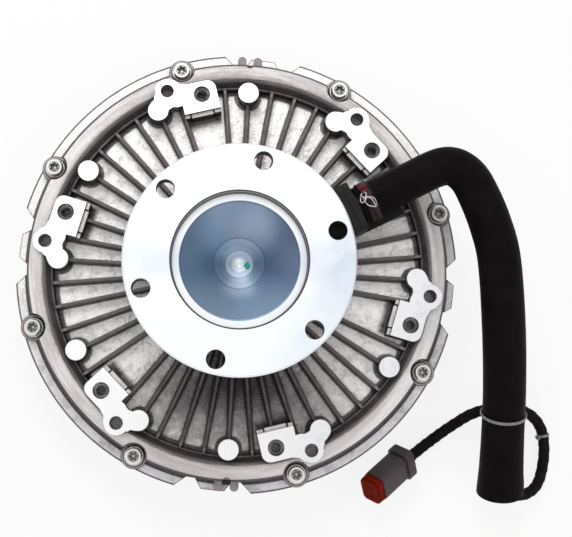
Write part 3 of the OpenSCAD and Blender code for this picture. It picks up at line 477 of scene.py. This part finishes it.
def turned_hub(name):
    """Bright turned flange and blue bowl with painted reflection, and painted shade in the groove round it.
    """
    c = colours()
    f = Finish(name, Metallic=1.0)
    rings = f.node("ShaderNodeTexNoise", {"W": f.r * 2.6, "Scale": 1.0, "Detail": 4.0, "Roughness": 0.7},
                   noise_dimensions="1D")
    smear = f.noise(24, 3, 0.55)
    tall = f.y / (f.r + 0.01)
    down = tall * -1
    upright = abs(tall)

    # Bowl: painted reflection in dark wedges at its sides, pale sheens above and below the centre, a painted
    # highlight up and to the right and a white one at the centre; also violet and teal patches and thin dark
    # rings.
    in_bowl = f.below(f.r, *BOWL_R) * f.step(f.z, *BOWL_Z)
    from_glow = ((f.x - 8) * (f.x - 8) + (f.y - 19) * (f.y - 19)) ** 0.5
    lines = f.between(f.r, 32.6, 33.4, 0.5) * 0.4
    for low, high, soft, share in ((14.2, 14.6, 0.35, 0.45), (7.8, 8.1, 0.3, 0.35), (10.8, 11.0, 0.25, 0.15),
                                   (5.2, 5.4, 0.25, 0.25)):
        lines = lines + f.between(f.r, low, high, soft) * share
    blue = f.layers(
        f.mix(smear * 0.25 + rings * 0.06, c.bowl, scaled(c.bowl, 0.8)),
        (f.below(upright, 0.05, 0.8) * 0.75, (0.1, 0.155, 0.25)),
        (f.step(tall, 0.72, 1.0) * (0.4 + smear * 0.3), (0.3, 0.37, 0.5)),
        (smear * f.step(f.x + f.y, 2, 26) * 0.45, (0.25, 0.27, 0.42)),
        ((1 - smear) * f.step(f.x * -1 - f.y * 0.5, 6, 30) * 0.5, (0.13, 0.25, 0.32)),
        (f.step(down, 0.3, 1.0) * 0.5, (0.27, 0.34, 0.43)),
        (f.step(down, 0.7, 1.0) * f.below(f.r, 14.5, 23) * 0.7, (0.5, 0.57, 0.66)),
        (f.step(abs(f.x) + f.y * 0.2, 15, 33) * f.step(f.y, 0, 14) * 0.7, (0.095, 0.125, 0.2)),
        (f.below(from_glow, 2, 17) * (0.5 + smear * 0.2), (0.42, 0.5, 0.64)),
        (f.below(f.r, 4.6, 13) * (0.15 + upright * 0.45), (0.5, 0.58, 0.68)),
        (f.below(f.r, 8.0, 8.5) * 0.5, (0.27, 0.34, 0.43)),
        (f.below(f.r, 2.4, 4.4) * 0.9, (0.86, 0.9, 0.9)),
        (lines, (0.05, 0.075, 0.12)))

    # Flange: painted reflection in faint blue bands on its face, and painted shade in the groove round the
    # bowl's ring, on the walls of the bolt holes and along edges.
    side = f.step(f.x - f.y * 0.25, 18, 62)
    wing = f.below(upright, 0.04, 0.42)
    bands = side * (0.15 + smear * 0.35) + wing * (0.28 + smear * 0.25) + rings * 0.06
    groove = f.between(f.r, *GROOVE_R, 0.15) * f.step(f.z, *GROOVE_Z)
    wall = f.below(abs(f.up), 0.2, 0.5)
    hole = wall * f.below(f.r, 62.5, 63) * f.step(f.r, 40, 42)
    base = f.layers(
        f.mix(rings * 0.4, (0.42, 0.42, 0.43), (0.3, 0.3, 0.31)),
        (f.step(f.z, *FLANGE_Z), f.mix(bands, c.steel, (0.6, 0.67, 0.78))),
        (groove * 0.92, (0.03, 0.03, 0.03)),
        (in_bowl, blue),
        (hole * 0.85, (0.04, 0.035, 0.03)),
        (f.edges(0.45) * 0.8, (0.05, 0.05, 0.055)))
    f.set(Base_Color=base,
          Roughness=0.26 + rings * 0.08 + f.step(f.z, *FLANGE_TOP_Z) * 0.06 + in_bowl * 0.14)
    f.bump(rings, 0.012)


def plated_steel(name, colour, rough, dark=(0.05, 0.045, 0.045)):
    """Plated or ground steel, with painted shade on its walls and in its recesses."""
    f = Finish(name, Metallic=1.0)
    speck = f.noise(0.8, 3, 0.6)
    wall = f.below(abs(f.up), 0.25, 0.7)
    f.set(Base_Color=f.mix(wall * 0.5, f.mix(speck * 0.35, colour, scaled(colour, 0.6)), dark),
          Roughness=rough + speck * 0.12)
    f.bump(speck, 0.02)


def screw_steel(name):
    """Plated screws: bright rings with fine dark lines and dark walls of painted shade,
    and a painted glint in the recess, which is painted dark as shade.
    """
    c = colours()
    f = Finish(name, Metallic=1.0)
    speck = f.noise(0.5, 3, 0.6)
    wall = f.below(abs(f.up), 0.25, 0.7)
    from_axis = f.near(*SCREWS)
    socket = f.between(f.z, *SCREW_SOCKET_Z, 0.2) * f.below(from_axis, 2.8, 3.0)
    face = f.below(from_axis, 3.2, 3.5) * f.step(f.z, *SCREW_FACE_Z)
    collar = f.step(from_axis, 5.1, 5.3) * f.below(f.z, *SCREW_COLLAR_Z) * f.below(from_axis, 6.15, 6.3)
    base = f.layers(
        f.mix(speck * 0.4, c.plated, scaled(c.plated, 0.55)),
        (face * (0.62 + f.between(from_axis, 3.0, 3.3, 0.2) * 0.3), (0.12, 0.115, 0.115)),
        (wall * (0.78 - collar * 0.6), (0.04, 0.036, 0.036)),
        (socket * 0.8 + f.edges(0.28) * (0.8 - collar * 0.6), (0.03, 0.028, 0.028)),
        (socket * f.below(from_axis, 0.3, 0.8) * 0.8, (0.75, 0.75, 0.75)))
    f.set(Base_Color=base, Roughness=0.3 + speck * 0.15)
    f.bump(speck, 0.03)


def soft_rubber(name, colour, rough=0.42):
    """Black rubber or silicone with a soft sheen, rubbed marks and a fine skin."""
    f = Finish(name, Specular_IOR_Level=0.03)
    skin = f.noise(0.35, 2, 0.5)
    rub = f.noise(14.4, 4, 0.7)
    f.set(Base_Color=f.mix(rub * 0.5, colour, scaled(colour, 1.9, 0.002)), Roughness=rough + rub * 0.16)
    f.bump(skin * 0.5 + rub * 0.5, 0.05)


def moulded_plastic(name, colour, rough, grain=0.5, scuff=0.4, shine=0.2, painted_edge_light=None):
    """Moulded plastic with a fine grain, paler scuffs and, where given, edges of another colour:
    dark painted shade on the plug's body, a painted highlight on its orange front and latch.
    """
    f = Finish(name, Specular_IOR_Level=shine)
    fine = f.noise(grain, 2, 0.5)
    worn = f.noise(6, 4, 0.7, low=0.45, high=0.75)
    base = f.mix(worn * scuff, colour, scaled(colour, 1.6, 0.004))
    if painted_edge_light:
        base = f.mix(f.edges(0.7) * 0.85, base, painted_edge_light)
    f.set(Base_Color=base, Roughness=rough + fine * 0.1 + worn * 0.1)
    f.bump(fine, 0.03)


def braided_sleeve(name):
    """Sleeve of the lead: fine knots of wound tape with dull patches."""
    c = colours()
    f = Finish(name, Specular_IOR_Level=0.05)
    knots = f.node("ShaderNodeTexVoronoi", {"Vector": f.place, "Scale": 1000 / 0.9})
    worn = f.noise(5, 3, 0.6)
    f.set(Base_Color=f.mix(worn * 0.5, c.sleeve, scaled(c.sleeve, 2.4)), Roughness=0.5 + knots * 0.2)
    f.bump(knots, 0.15)


def wound_wire(name):
    """Copper winding, with a dark line between its turns."""
    c = colours()
    f = Finish(name, Metallic=0.9)
    turns = f.maths("SINE", f.z * 9.0)
    f.set(Base_Color=f.mix(f.step(turns, -0.8, 0.6), scaled(c.copper, 0.4), c.copper),
          Roughness=0.3 + f.noise(1.5) * 0.15)
    f.bump(turns, 0.15)


def studio_floor(name):
    """White floor that keeps a soft shadow of the object."""
    c = colours()
    f = Finish(name, Roughness=0.85)
    f.set(Base_Color=f.mix(f.noise(60) * 0.1, c.floor, scaled(c.floor, 0.98)))
    glow = f.node("ShaderNodeEmission", {"Color": (1, 1, 1, 1), "Strength": 1.0})
    seen = Socket(f, seen_rays(f.tree))
    mixed = f.node("ShaderNodeMixShader", {0: seen * 0.82, 1: Socket(f, f.shader.outputs[0]), 2: glow})
    f.tree.links.new(mixed.output, f.tree.nodes["Material Output"].inputs["Surface"])


# What makes each finish, and what that is given after the name. A word stands for a colour of ClutchColours.
FINISHES = {
    "cast casing": (cast_casing,),
    "cast cover": (cast_cover,),
    "turned hub": (turned_hub,),
    "screw steel": (screw_steel,),
    "wound wire": (wound_wire,),
    "braided sleeve": (braided_sleeve,),
    "studio floor": (studio_floor,),
    "ground steel": (plated_steel, (0.72, 0.73, 0.75), 0.18),
    "pressed steel": (plated_steel, (0.42, 0.42, 0.43), 0.34),
    "blued steel": (plated_steel, (0.2, 0.2, 0.22), 0.36),
    "bright ears": (plated_steel, (0.5, 0.47, 0.45), 0.2, (0.03, 0.02, 0.018)),
    "turned aluminium": (plated_steel, (0.72, 0.72, 0.73), 0.35, (0.3, 0.3, 0.3)),
    "cage brass": (plated_steel, "brass", 0.3, (0.2, 0.13, 0.05)),
    "hose rubber": (soft_rubber, "rubber"),
    "seal rubber": (soft_rubber, (0.02, 0.02, 0.02), 0.5),
    "red silicone": (soft_rubber, "plug_seal", 0.36),
    "clamp coat": (moulded_plastic, "clamp", 0.35, 0.4, 0.7),
    "clamp tail": (moulded_plastic, (0.026, 0.009, 0.008), 0.3, 0.4, 0.6),
    "red tab": (moulded_plastic, (0.075, 0.005, 0.011), 0.4, 0.4, 0.6),
    "black moulding": (moulded_plastic, "moulding", 0.4),
    "wiper plastic": (moulded_plastic, (0.5, 0.42, 0.28), 0.45),
    "tie plastic": (moulded_plastic, "tie", 0.4),
    "paint dot": (moulded_plastic, (0.03, 0.3, 0.2), 0.35, 0.3, 0.2),
    # The plug body's dark edge colour is painted shade; the paler ones of its front and latch are painted
    # highlights.
    "plug moulding": (moulded_plastic, "plug", 0.36, 0.4, 0.25, 0.2, (0.012, 0.009, 0.01)),
    "orange moulding": (moulded_plastic, "plug_front", 0.35, 0.4, 0.2, 0.025, (0.7, 0.09, 0.018)),
    "orange latch": (moulded_plastic, "plug_front", 0.35, 0.4, 0.2, 0.025, (0.3, 0.03, 0.006)),
}


def finish(name):
    """The finish of that name, made when it is first asked for."""
    if name not in bpy.data.materials:
        maker, *values = FINISHES[name]
        maker(name, *(tuple(getattr(colours(), v)) if isinstance(v, str) else v for v in values))
    return bpy.data.materials[name]


def dress(finish_name, *nodes):
    """Gives CAD nodes a finish."""
    for node in nodes:
        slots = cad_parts[node].data.materials
        slots.clear()
        slots.append(finish(finish_name))


def smooth(points, steps):
    """Curve through points of any number of values, with that many steps between two of them."""
    p = [Vector(q) for q in points]
    last = len(p) - 1
    out = []
    for i in range(last):
        a = p[i - 1] if i else 2 * p[0] - p[1]
        b, c = p[i], p[i + 1]
        d = p[i + 2] if i < last - 1 else 2 * p[last] - p[last - 1]
        for j in range(steps):
            t = j / steps
            out.append(0.5 * (2 * b + (c - a) * t + (2 * a - 5 * b + 4 * c - d) * t * t
                              + (3 * b - a - 3 * c + d) * t ** 3))
    return out + [p[last]]


def stations(path):
    """For each point of a path: the point, a side and a normal that do not twist, and the direction."""
    out = []
    side = None
    for i, point in enumerate(path):
        way = (path[min(i + 1, len(path) - 1)] - path[max(i - 1, 0)]).normalized()
        if side is None:
            side = (way.orthogonal() if abs(way.z) > 0.99 else way.cross(Vector((0, 0, 1)))).normalized()
        side = (side - way * side.dot(way)).normalized()
        out.append((point, side, side.cross(way), way))
    return out


def circle(center, side, normal, radius, count):
    return [center + radius * (math.cos(t) * side + math.sin(t) * normal)
            for t in (2 * math.pi * k / count for k in range(count))]


def square_ring(x, half, corner):
    """Rounded square across the X axis, with seven points round each corner."""
    ring = []
    for k, (sy, sz) in enumerate(((1, 1), (-1, 1), (-1, -1), (1, -1))):
        for j in range(7):
            t = math.radians(90 * k + 15 * j)
            ring.append(Vector((x, sy * (half - corner) + corner * math.cos(t),
                                sz * (half - corner) + corner * math.sin(t))))
    return ring


class Shape:
    """Points and faces of one piece, in millimetres of its own frame."""

    def __init__(self, turn=None):
        self.turn = turn or Matrix.Identity(4)
        self.points = []
        self.faces = []

    def skin(self, rows, closed=False):
        """Joins rows of points. Closed joins the last row to the first, and otherwise both get caps."""
        start = len(self.points)
        n = len(rows[0])
        last = len(rows) - 1
        for row in rows:
            self.points.extend(self.turn @ p for p in row)
        for a, b in [(i, i + 1) for i in range(last)] + ([(last, 0)] if closed else []):
            for k in range(n):
                k2 = (k + 1) % n
                self.faces.append([start + i for i in (a * n + k, a * n + k2, b * n + k2, b * n + k)])
        if not closed:
            self.faces.append([start + k for k in reversed(range(n))])
            self.faces.append([start + last * n + k for k in range(n)])

    def tube(self, path, radius, sides, closed=False):
        """Round tube along a path."""
        self.skin([circle(p, s, n, radius, sides) for p, s, n, _ in stations(path)], closed)

    def revolve(self, profile, count):
        """Turns a closed profile of (radius, x) about the X axis."""
        rows = []
        for k in range(count):
            t = 2 * math.pi * k / count
            rows.append([Vector((x, r * math.cos(t), r * math.sin(t))) for r, x in profile])
        self.skin(rows, closed=True)

    def block(self, low, high, e):
        """Box with its edges chamfered by e."""
        (x0, y0, z0), (x1, y1, z1) = low, high
        ring = [(y0 + e, z0), (y1 - e, z0), (y1, z0 + e), (y1, z1 - e), (y1 - e, z1), (y0 + e, z1),
                (y0, z1 - e), (y0, z0 + e)]
        cy, cz = (y0 + y1) / 2, (z0 + z1) / 2
        end = 1 - 2 * e / (y1 - y0)
        self.skin([[Vector((x, cy + (y - cy) * k, cz + (z - cz) * k)) for y, z in ring]
                   for x, k in ((x0, end), (x0 + e, 1), (x1 - e, 1), (x1, end))])

    def build(self, name, finish_name, body, slot, replaces=(), sharp=38):
        """Makes the piece, which rides on a body and may replace CAD nodes. Sharp is an angle in degrees."""
        mesh = bpy.data.meshes.new(name)
        mesh.from_pydata([tuple(p * MM) for p in self.points], [], self.faces)
        bm = bmesh.new()
        bm.from_mesh(mesh)
        bmesh.ops.remove_doubles(bm, verts=bm.verts, dist=1e-7)
        bmesh.ops.recalc_face_normals(bm, faces=bm.faces)
        bm.to_mesh(mesh)
        bm.free()
        mesh.polygons.foreach_set("use_smooth", [True] * len(mesh.polygons))
        mesh.set_sharp_from_angle(angle=math.radians(sharp))
        mesh.materials.append(finish(finish_name))
        piece = bpy.data.objects.new(name, mesh)
        bpy.context.scene.collection.objects.link(piece)
        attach(piece, body)
        if replaces:
            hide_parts(*replaces)
        return piece


def toward(center, way, roll=0.0):
    """Frame at center whose X axis is way."""
    way = Vector(way).normalized()
    side = Vector((0, 0, 1)).cross(way)
    side = side.normalized() if side.length > 1e-6 else Vector((0, 1, 0))
    turn = Matrix((way, side, way.cross(side))).transposed().to_4x4()
    return Matrix.Translation(Vector(center)) @ turn @ Matrix.Rotation(math.radians(roll), 4, "X")


def plug_frame():
    """Frame at the plug's rear end whose X axis runs to its front."""
    roll, rise, heading = (math.radians(a) for a in PLUG_TURNS)
    return (Matrix.Translation(Vector(PLUG_REAR)) @ Matrix.Rotation(heading, 4, "Z")
            @ Matrix.Rotation(rise, 4, "Y") @ Matrix.Rotation(roll, 4, "X")
            @ Matrix.Translation((0, 0, PLUG_LIFT)) @ Matrix.Diagonal((1, 1, PLUG_STRETCH, 1)))


def half_mm(length):
    """Half of a length in metres, in millimetres."""
    return length * 500


class CLUTCH_OT_studio(Operator):
    """Camera, floor, lamps and the even white surroundings"""

    bl_idname = "clutch.studio"
    bl_label = "Studio"

    def execute(self, context):
        studio = context.scene.clutch_studio
        scene = context.scene
        place = Vector(studio.camera_place)
        way = Vector(studio.camera_target) - place
        camera = bpy.data.objects.new("camera", bpy.data.cameras.new("camera"))
        side = way.cross(Vector((0, 1, 0))).normalized()
        up = side.cross(way).normalized()
        camera.matrix_world = (Matrix.Translation(place)
                               @ Matrix((side, up, -way.normalized())).transposed().to_4x4())
        camera.data.lens = studio.lens
        camera.data.sensor_width = 36
        camera.data.clip_start = 0.01
        scene.collection.objects.link(camera)
        scene.camera = camera

        for name, power, spot, size in (("key", studio.key_power, (-0.14, 0.62, 0.85), 0.5),
                                        ("fill", studio.fill_power, (0.7, -0.5, 0.8), 0.9)):
            lamp = bpy.data.lights.new(name, "AREA")
            lamp.shape = "DISK"
            lamp.size = size
            lamp.energy = power
            holder = bpy.data.objects.new(name, lamp)
            aim = Vector((0.02, 0, 0.05)) - Vector(spot)
            holder.matrix_world = Matrix.Translation(spot) @ aim.to_track_quat("-Z", "Y").to_matrix().to_4x4()
            scene.collection.objects.link(holder)

        world = bpy.data.worlds.new("studio")
        scene.world = world
        world.use_nodes = True
        tree = world.node_tree
        sky = tree.nodes["Background"]
        sky.inputs["Color"].default_value = (1, 1, 1, 1)
        sky.inputs["Strength"].default_value = studio.sky
        backdrop = tree.nodes.new("ShaderNodeBackground")
        backdrop.inputs["Color"].default_value = (1, 1, 1, 1)
        mixed = tree.nodes.new("ShaderNodeMixShader")
        for k, output in enumerate((seen_rays(tree), sky.outputs[0], backdrop.outputs[0])):
            tree.links.new(output, mixed.inputs[k])
        tree.links.new(mixed.outputs[0], tree.nodes["World Output"].inputs["Surface"])

        mesh = bpy.data.meshes.new("floor")
        mesh.from_pydata([(x, y, -0.0002) for x, y in ((-3, -3), (3, -3), (3, 3), (-3, 3))], [],
                         [(0, 1, 2, 3)])
        mesh.materials.append(finish("studio floor"))
        floor = bpy.data.objects.new("floor", mesh)
        scene.collection.objects.link(floor)
        scene.view_settings.view_transform = "Standard"
        return {"FINISHED"}


class CLUTCH_OT_lead(Operator):
    """The coil lead from the hose's mouth to the plug, with its small tie"""

    bl_idname = "clutch.lead"
    bl_label = "Coil lead"

    def execute(self, context):
        path = smooth(LEAD_ROUTE, LEAD_STEPS)
        radius = half_mm(sizes().lead_diameter)
        sides = 28
        rows = []
        for i, (p, s, n, _) in enumerate(stations(path)):
            ring = []
            for k in range(sides):
                t = 2 * math.pi * k / sides
                lap = 0.4 * ((k / sides - i * 0.19) % 1.0) - 0.36
                ring.append(p + (radius + lap) * (math.cos(t) * s + math.sin(t) * n))
            rows.append(ring)
        sleeve = Shape()
        sleeve.skin(rows)
        lead = sleeve.build("coil_lead_sleeve", "braided sleeve", "carrier", "lead_jacket", ["coil_lead"])

        spot, _, _, way = stations(path)[LEAD_TIE_AT * LEAD_STEPS]
        inner, outer, half = radius + 0.08, radius + 0.5, 0.8
        tie = Shape(toward(spot, way, -60))
        tie.revolve([(inner, -half), (outer - 0.15, -half), (outer, -half + 0.2), (outer, half - 0.2),
                     (outer - 0.15, half), (inner, half)], 48)
        tie.block((-1.3, -1.6, inner + 0.2), (1.3, 1.6, outer + 1.0), 0.25)
        tie.block((-0.5, 0.6, outer - 0.2), (0.5, 2.6, outer + 0.4), 0.15)
        tie = tie.build("lead_tie_strap", "tie plastic", "carrier", "tie_plastic", ["lead_tie"])
        length = sum((b - a).length for a, b in zip(path, path[1:])) * MM
        points = [tuple(p * MM) for p in path]
        return {"FINISHED"}


class CLUTCH_OT_plug(Operator):
    """The sealed two-way plug: body with collar, seal and orange front"""

    bl_idname = "clutch.plug"
    bl_label = "Plug"

    def execute(self, context):
        half = half_mm(sizes().plug_width)
        collar = half_mm(sizes().plug_collar)
        bore = half - 1.8
        seal_x = sizes().plug_length * 1000 - 6.4
        front_x = seal_x + 2.6
        turn = plug_frame()

        body = Shape(turn)
        body.skin([square_ring(x, h, c) for x, h, c in (
            (3.5, bore, 2.0), (1.2, bore, 2.0), (0.6, bore + 0.3, 2.2), (0.2, collar - 2.6, 2.6),
            (0.3, collar - 2.2, 2.8), (2.2, collar, 3.6), (7.6, collar, 3.6), (8.0, collar - 0.35, 3.4),
            (8.1, half - 0.5, 2.6), (9.0, half - 0.5, 2.6), (9.1, half - 0.05, 2.7), (9.5, half, 2.7),
            (seal_x - 0.5, half, 2.6), (seal_x, half - 0.4, 2.4), (seal_x, half - 2.2, 1.6))])
        body.block((10.6, -1.2, half - 0.6), (12.4, 1.2, half + 0.18), 0.3)
        body.block((20.5, -half - 0.9, -4.4), (23.5, -half + 0.5, -2.2), 0.3)
        body.block((4.5, -collar - 0.7, -5.0), (7.0, -collar + 0.5, -2.4), 0.3)
        body.build("plug_body", "plug moulding", "carrier", "plug_plastic", ["connector_body"])

        seal = Shape(turn)
        seal.skin([square_ring(seal_x + dx, half - inset, 2.5) for dx, inset in (
            (-0.3, 1.6), (0.0, 0.55), (0.5, 0.15), (1.0, 0.4), (1.5, 0.15), (2.1, 0.4), (2.5, 0.3),
            (2.6, 1.6))])
        seal.build("plug_front_seal", "red silicone", "carrier", "red_silicone", ["connector_seal"])

        front = Shape(turn)
        front.skin([square_ring(front_x + dx, half - inset, corner) for dx, inset, corner in (
            (0.0, 1.2, 2.2), (0.1, 0.35, 2.6), (2.4, 0.3, 2.7), (3.2, 0.5, 2.7), (3.6, 0.9, 2.5),
            (3.7, 1.3, 2.3), (3.6, 1.6, 2.2), (3.0, 1.9, 2.1), (2.9, 2.3, 2.0), (2.9, 2.9, 1.7))])
        front.build("plug_front", "orange moulding", "carrier", "orange_plastic", ["wedge_lock"])

        latch = Shape(turn)
        latch.block((front_x + 2.7, -0.9, -2.0), (front_x + 3.5, 0.9, 2.0), 0.4)
        latch.build("plug_latch", "orange latch", "carrier", "orange_plastic")
        dress("seal rubber", "wire_seal")
        dress("cage brass", "contact_sockets")
        return {"FINISHED"}


class CLUTCH_OT_hose(Operator):
    """The formed hose with its flared mouth, its clamp and the strap that ties the lead to it"""

    bl_idname = "clutch.hose"
    bl_label = "Hose"

    def execute(self, context):
        path = smooth(HOSE_ROUTE, 10)
        wall = sizes().hose_wall * 1000
        sides = sizes().hose_sides
        spots = stations([Vector(p[:3]) for p in path])
        outer, inner = [], []
        for (p, s, n, _), q in zip(spots, path):
            outer.append(circle(p, s, n, q[3], sides))
            inner.append(circle(p, s, n, q[3] - wall, sides))
        p, s, n, w = spots[-1]
        big, small = path[-1][3], path[-1][3] - wall
        mouth = [circle(p - w * back, s, n, radius, sides) for back, radius in (
            (0.1, big), (0, big - 0.5), (0, small + 0.5), (0.2, small + 0.05))]
        hose = Shape()
        hose.skin(outer[:-1] + mouth + inner[-2::-1], closed=True)
        hose.build("hose_body", "hose rubber", "carrier", "hose_rubber", ["formed_hose"], sharp=60)

        # The clamp: a band with raised edges, loops and an end of wire, a tab of three blocks, and a tail.
        angle = math.radians(ARM_ANGLE)
        way = Vector((math.cos(angle), math.sin(angle), 0))
        turn = toward(way * CLAMP_AT + Vector((0, 0, ARM_HEIGHT)), way)
        root = CLAMP_RADIUS
        rim = root + 1.0
        width = sizes().band_width * 1000
        band = Shape(turn)
        band.revolve([(root, 0), (root + 0.95, 0), (root + 1.15, 0.5), (root + 0.8, 0.9),
                      (root + 0.8, width - 0.9), (root + 1.15, width - 0.5), (root + 0.95, width),
                      (root, width)], 96)
        band.build("clamp_band", "clamp coat", "carrier", "clamp_steel", ["hose_clamp"])

        loops = Shape(turn)
        for x, y, wide, long, lean in ((-0.2, 2.0, 1.7, 3.0, 1.3), (1.8, -1.7, 1.9, 3.7, -1.5)):
            ring = []
            for k in range(14):
                t = 2 * math.pi * k / 14
                across = y + (long + 0.5 * math.cos(2 * t + x)) * math.sin(t)
                ring.append((x + wide * math.cos(t) + lean * math.sin(t) + 0.35 * math.sin(3 * t), across,
                             rim + 1.0 + 1.1 * math.cos(t + 0.9) - 0.05 * across ** 2))
            loops.tube(smooth([*ring, ring[0]], 4)[:-1], 0.48, 10, closed=True)
        loops.tube(smooth([(-1.2, 3.6, rim + 0.4), (0.2, 1.4, rim + 1.5), (3.2, 0.6, rim + 1.9),
                           (5.2, -1.6, rim + 1.2), (5.0, -5.2, rim - 0.8)], 6), 0.4, 10)
        loops.build("clamp_loops", "bright ears", "carrier", "clamp_steel")

        tabs = Shape()
        for place, x0, x1, high in ((52, -0.5, 4.6, 2.3), (40, 0.0, 4.2, 1.6), (64, 0.2, 4.4, 1.7)):
            tabs.turn = turn @ Matrix.Rotation(math.radians(place - 90), 4, "X")
            tabs.block((x0, -1.3, root + 0.2), (x1, 1.3, root + high), 0.35)
        tabs.build("clamp_tab", "red tab", "carrier", "clamp_steel")

        tail = Shape(turn)
        sweep = []
        for k in range(13):
            t = math.radians(98 + 5.2 * k)
            x = 2.0 + 0.16 * k
            r = rim + 0.35 + 0.5 * math.sin(math.radians(15 * k))
            sweep.append([Vector((x + dx, (r + dr) * math.cos(t), (r + dr) * math.sin(t)))
                          for dx, dr in ((0, 0), (2.4, 0), (2.4, 0.7), (0, 0.7))])
        tail.skin(sweep)
        tail.build("clamp_tail", "clamp tail", "carrier", "clamp_steel")

        # The strap: a ring round the hose, a ring round the lead and a block between them.
        strap = Shape(toward(HOSE_TIE_CENTER, HOSE_TIE_DIRECTION))
        r = HOSE_TIE_RADIUS
        strap.revolve([(r, -0.8), (r + 0.6, -0.8), (r + 0.75, -0.6), (r + 0.75, 0.6), (r + 0.6, 0.8),
                       (r, 0.8)], 96)
        lead = Vector(LEAD_ROUTE[HOSE_TIE_AT])
        low = HOSE_TIE_CENTER + 13.1 * Vector((0, -HOSE_TIE_DIRECTION.z, HOSE_TIE_DIRECTION.y))
        hold = half_mm(sizes().lead_diameter)
        strap.turn = toward(lead, (1, 0, 0))
        strap.revolve([(hold + 0.1, -1.5), (hold + 1.1, -1.5), (hold + 1.1, 1.5), (hold + 0.1, 1.5)], 48)
        strap.turn = Matrix.Identity(4)
        strap.block((lead.x - 1.5, low.y - 0.9, lead.z + hold + 0.2),
                    (lead.x + 1.5, low.y + 0.7, low.z - 0.4), 0.2)
        strap.build("hose_tie_strap", "tie plastic", "carrier", "tie_plastic", ["hose_tie"])
        return {"FINISHED"}


class CLUTCH_OT_housing(Operator):
    """Finishes of the casing and cover, and the threads in the fan holes"""

    bl_idname = "clutch.housing"
    bl_label = "Housing"

    def execute(self, context):
        dress("cast casing", "rear_casing")
        dress("cast cover", "front_cover")
        dress("screw steel", "cover_screws")
        dress("seal rubber", "casing_seal", "shaft_seal")
        dress("pressed steel", "reservoir_plate", "lever_pin", "tone_ring")
        dress("wiper plastic", "wiper_block")
        pitch = sizes().thread_pitch * 1000
        count, start, radius = FAN_HOLES
        turns, steps = 9, 24
        threads = Shape()
        for k in range(count):
            a = math.radians(start + 360 / count * k)
            center = Vector((radius * math.cos(a), radius * math.sin(a), 0))
            rows = []
            for i in range(turns * steps + 1):
                t = 2 * math.pi * i / steps
                z = 43.2 + pitch * i / steps
                out = Vector((math.cos(t), math.sin(t), 0))
                rows.append([center + out * r + Vector((0, 0, z + pitch * rise))
                             for r, rise in ((3.45, -0.42), (2.95, 0), (3.45, 0.42))])
            threads.skin(rows)
        threads.build("fan_hole_threads", "pressed steel", "housing", "cast_aluminium", sharp=30)
        return {"FINISHED"}


class CLUTCH_OT_hub(Operator):
    """Finishes of the hub with its rotor, and the dot of paint in the bowl"""

    bl_idname = "clutch.hub"
    bl_label = "Hub"

    def execute(self, context):
        dress("turned hub", "input_shaft")
        dress("turned aluminium", "rotor")
        dress("screw steel", "rotor_nut")
        dot = Shape(Matrix.Translation((4.9, -1.0, 78.6)) @ Matrix.Rotation(math.radians(-90), 4, "Y"))
        outline = []
        for k in range(24):
            t = math.radians(15 * k)
            blob = 2.15 + 0.3 * math.sin(2 * t) + 0.12 * math.sin(5 * t)
            outline.append((blob * math.cos(t), blob * math.sin(t)))
        dot.skin([[Vector((height, share * y, share * z)) for y, z in outline]
                  for height, share in ((-0.3, 1.0), (0.05, 1.0), (0.16, 0.86), (0.2, 0.5), (0.21, 0.12))])
        dot.build("paint_dot", "paint dot", "hub", "turned_steel", sharp=70)
        return {"FINISHED"}


class CLUTCH_OT_bearings(Operator):
    """Finishes of both bearings and their retaining rings"""

    bl_idname = "clutch.bearings"
    bl_label = "Bearings"

    def execute(self, context):
        for name in ("main", "carrier"):
            dress("ground steel", *(f"{name}_bearing_{part}" for part in ("inner", "outer", "balls")))
            dress("cage brass", f"{name}_bearing_cage")
        dress("blued steel", "bearing_retaining_ring", "carrier_retaining_ring")
        return {"FINISHED"}


class CLUTCH_OT_carrier(Operator):
    """Finishes of the coil carrier, its magnet and sensor, and the valve"""

    bl_idname = "clutch.carrier"
    bl_label = "Coil carrier"

    def execute(self, context):
        dress("black moulding", "coil_housing", "speed_sensor")
        dress("pressed steel", "coil_core", "valve_lever", "armature")
        dress("wound wire", "coil_winding")
        dress("blued steel", "return_spring")
        dress("braided sleeve", "inner_lead")
        return {"FINISHED"}


class CLUTCH_PT_sidebar(Panel):
    """Sizes, colours and steps of the fan clutch"""

    bl_label = "Fan Clutch"
    bl_space_type = "VIEW_3D"
    bl_region_type = "UI"
    bl_category = "Fan Clutch"

    def draw(self, context):
        for group in (context.scene.clutch_sizes, context.scene.clutch_colours, context.scene.clutch_studio):
            column = self.layout.column()
            for name in group.bl_rna.properties.keys():
                if name not in ("rna_type", "name"):
                    column.prop(group, name)
        for step in STEPS:
            self.layout.operator(step.bl_idname)


GROUPS = {"clutch_sizes": ClutchSizes, "clutch_colours": ClutchColours, "clutch_studio": ClutchStudio}
STEPS = [CLUTCH_OT_studio, CLUTCH_OT_plug, CLUTCH_OT_lead, CLUTCH_OT_hose, CLUTCH_OT_housing, CLUTCH_OT_hub,
         CLUTCH_OT_bearings, CLUTCH_OT_carrier]


def register():
    for kind in (*GROUPS.values(), *STEPS, CLUTCH_PT_sidebar):
        bpy.utils.register_class(kind)
    for name, kind in GROUPS.items():
        setattr(bpy.types.Scene, name, PointerProperty(type=kind))


def unregister():
    for name in GROUPS:
        delattr(bpy.types.Scene, name)
    for kind in (CLUTCH_PT_sidebar, *reversed(STEPS), *GROUPS.values()):
        bpy.utils.unregister_class(kind)


def main():
    register()
    for step in STEPS:
        area, name = step.bl_idname.split(".")
        getattr(getattr(bpy.ops, area), name)()


if __name__ == "__main__":
    main()
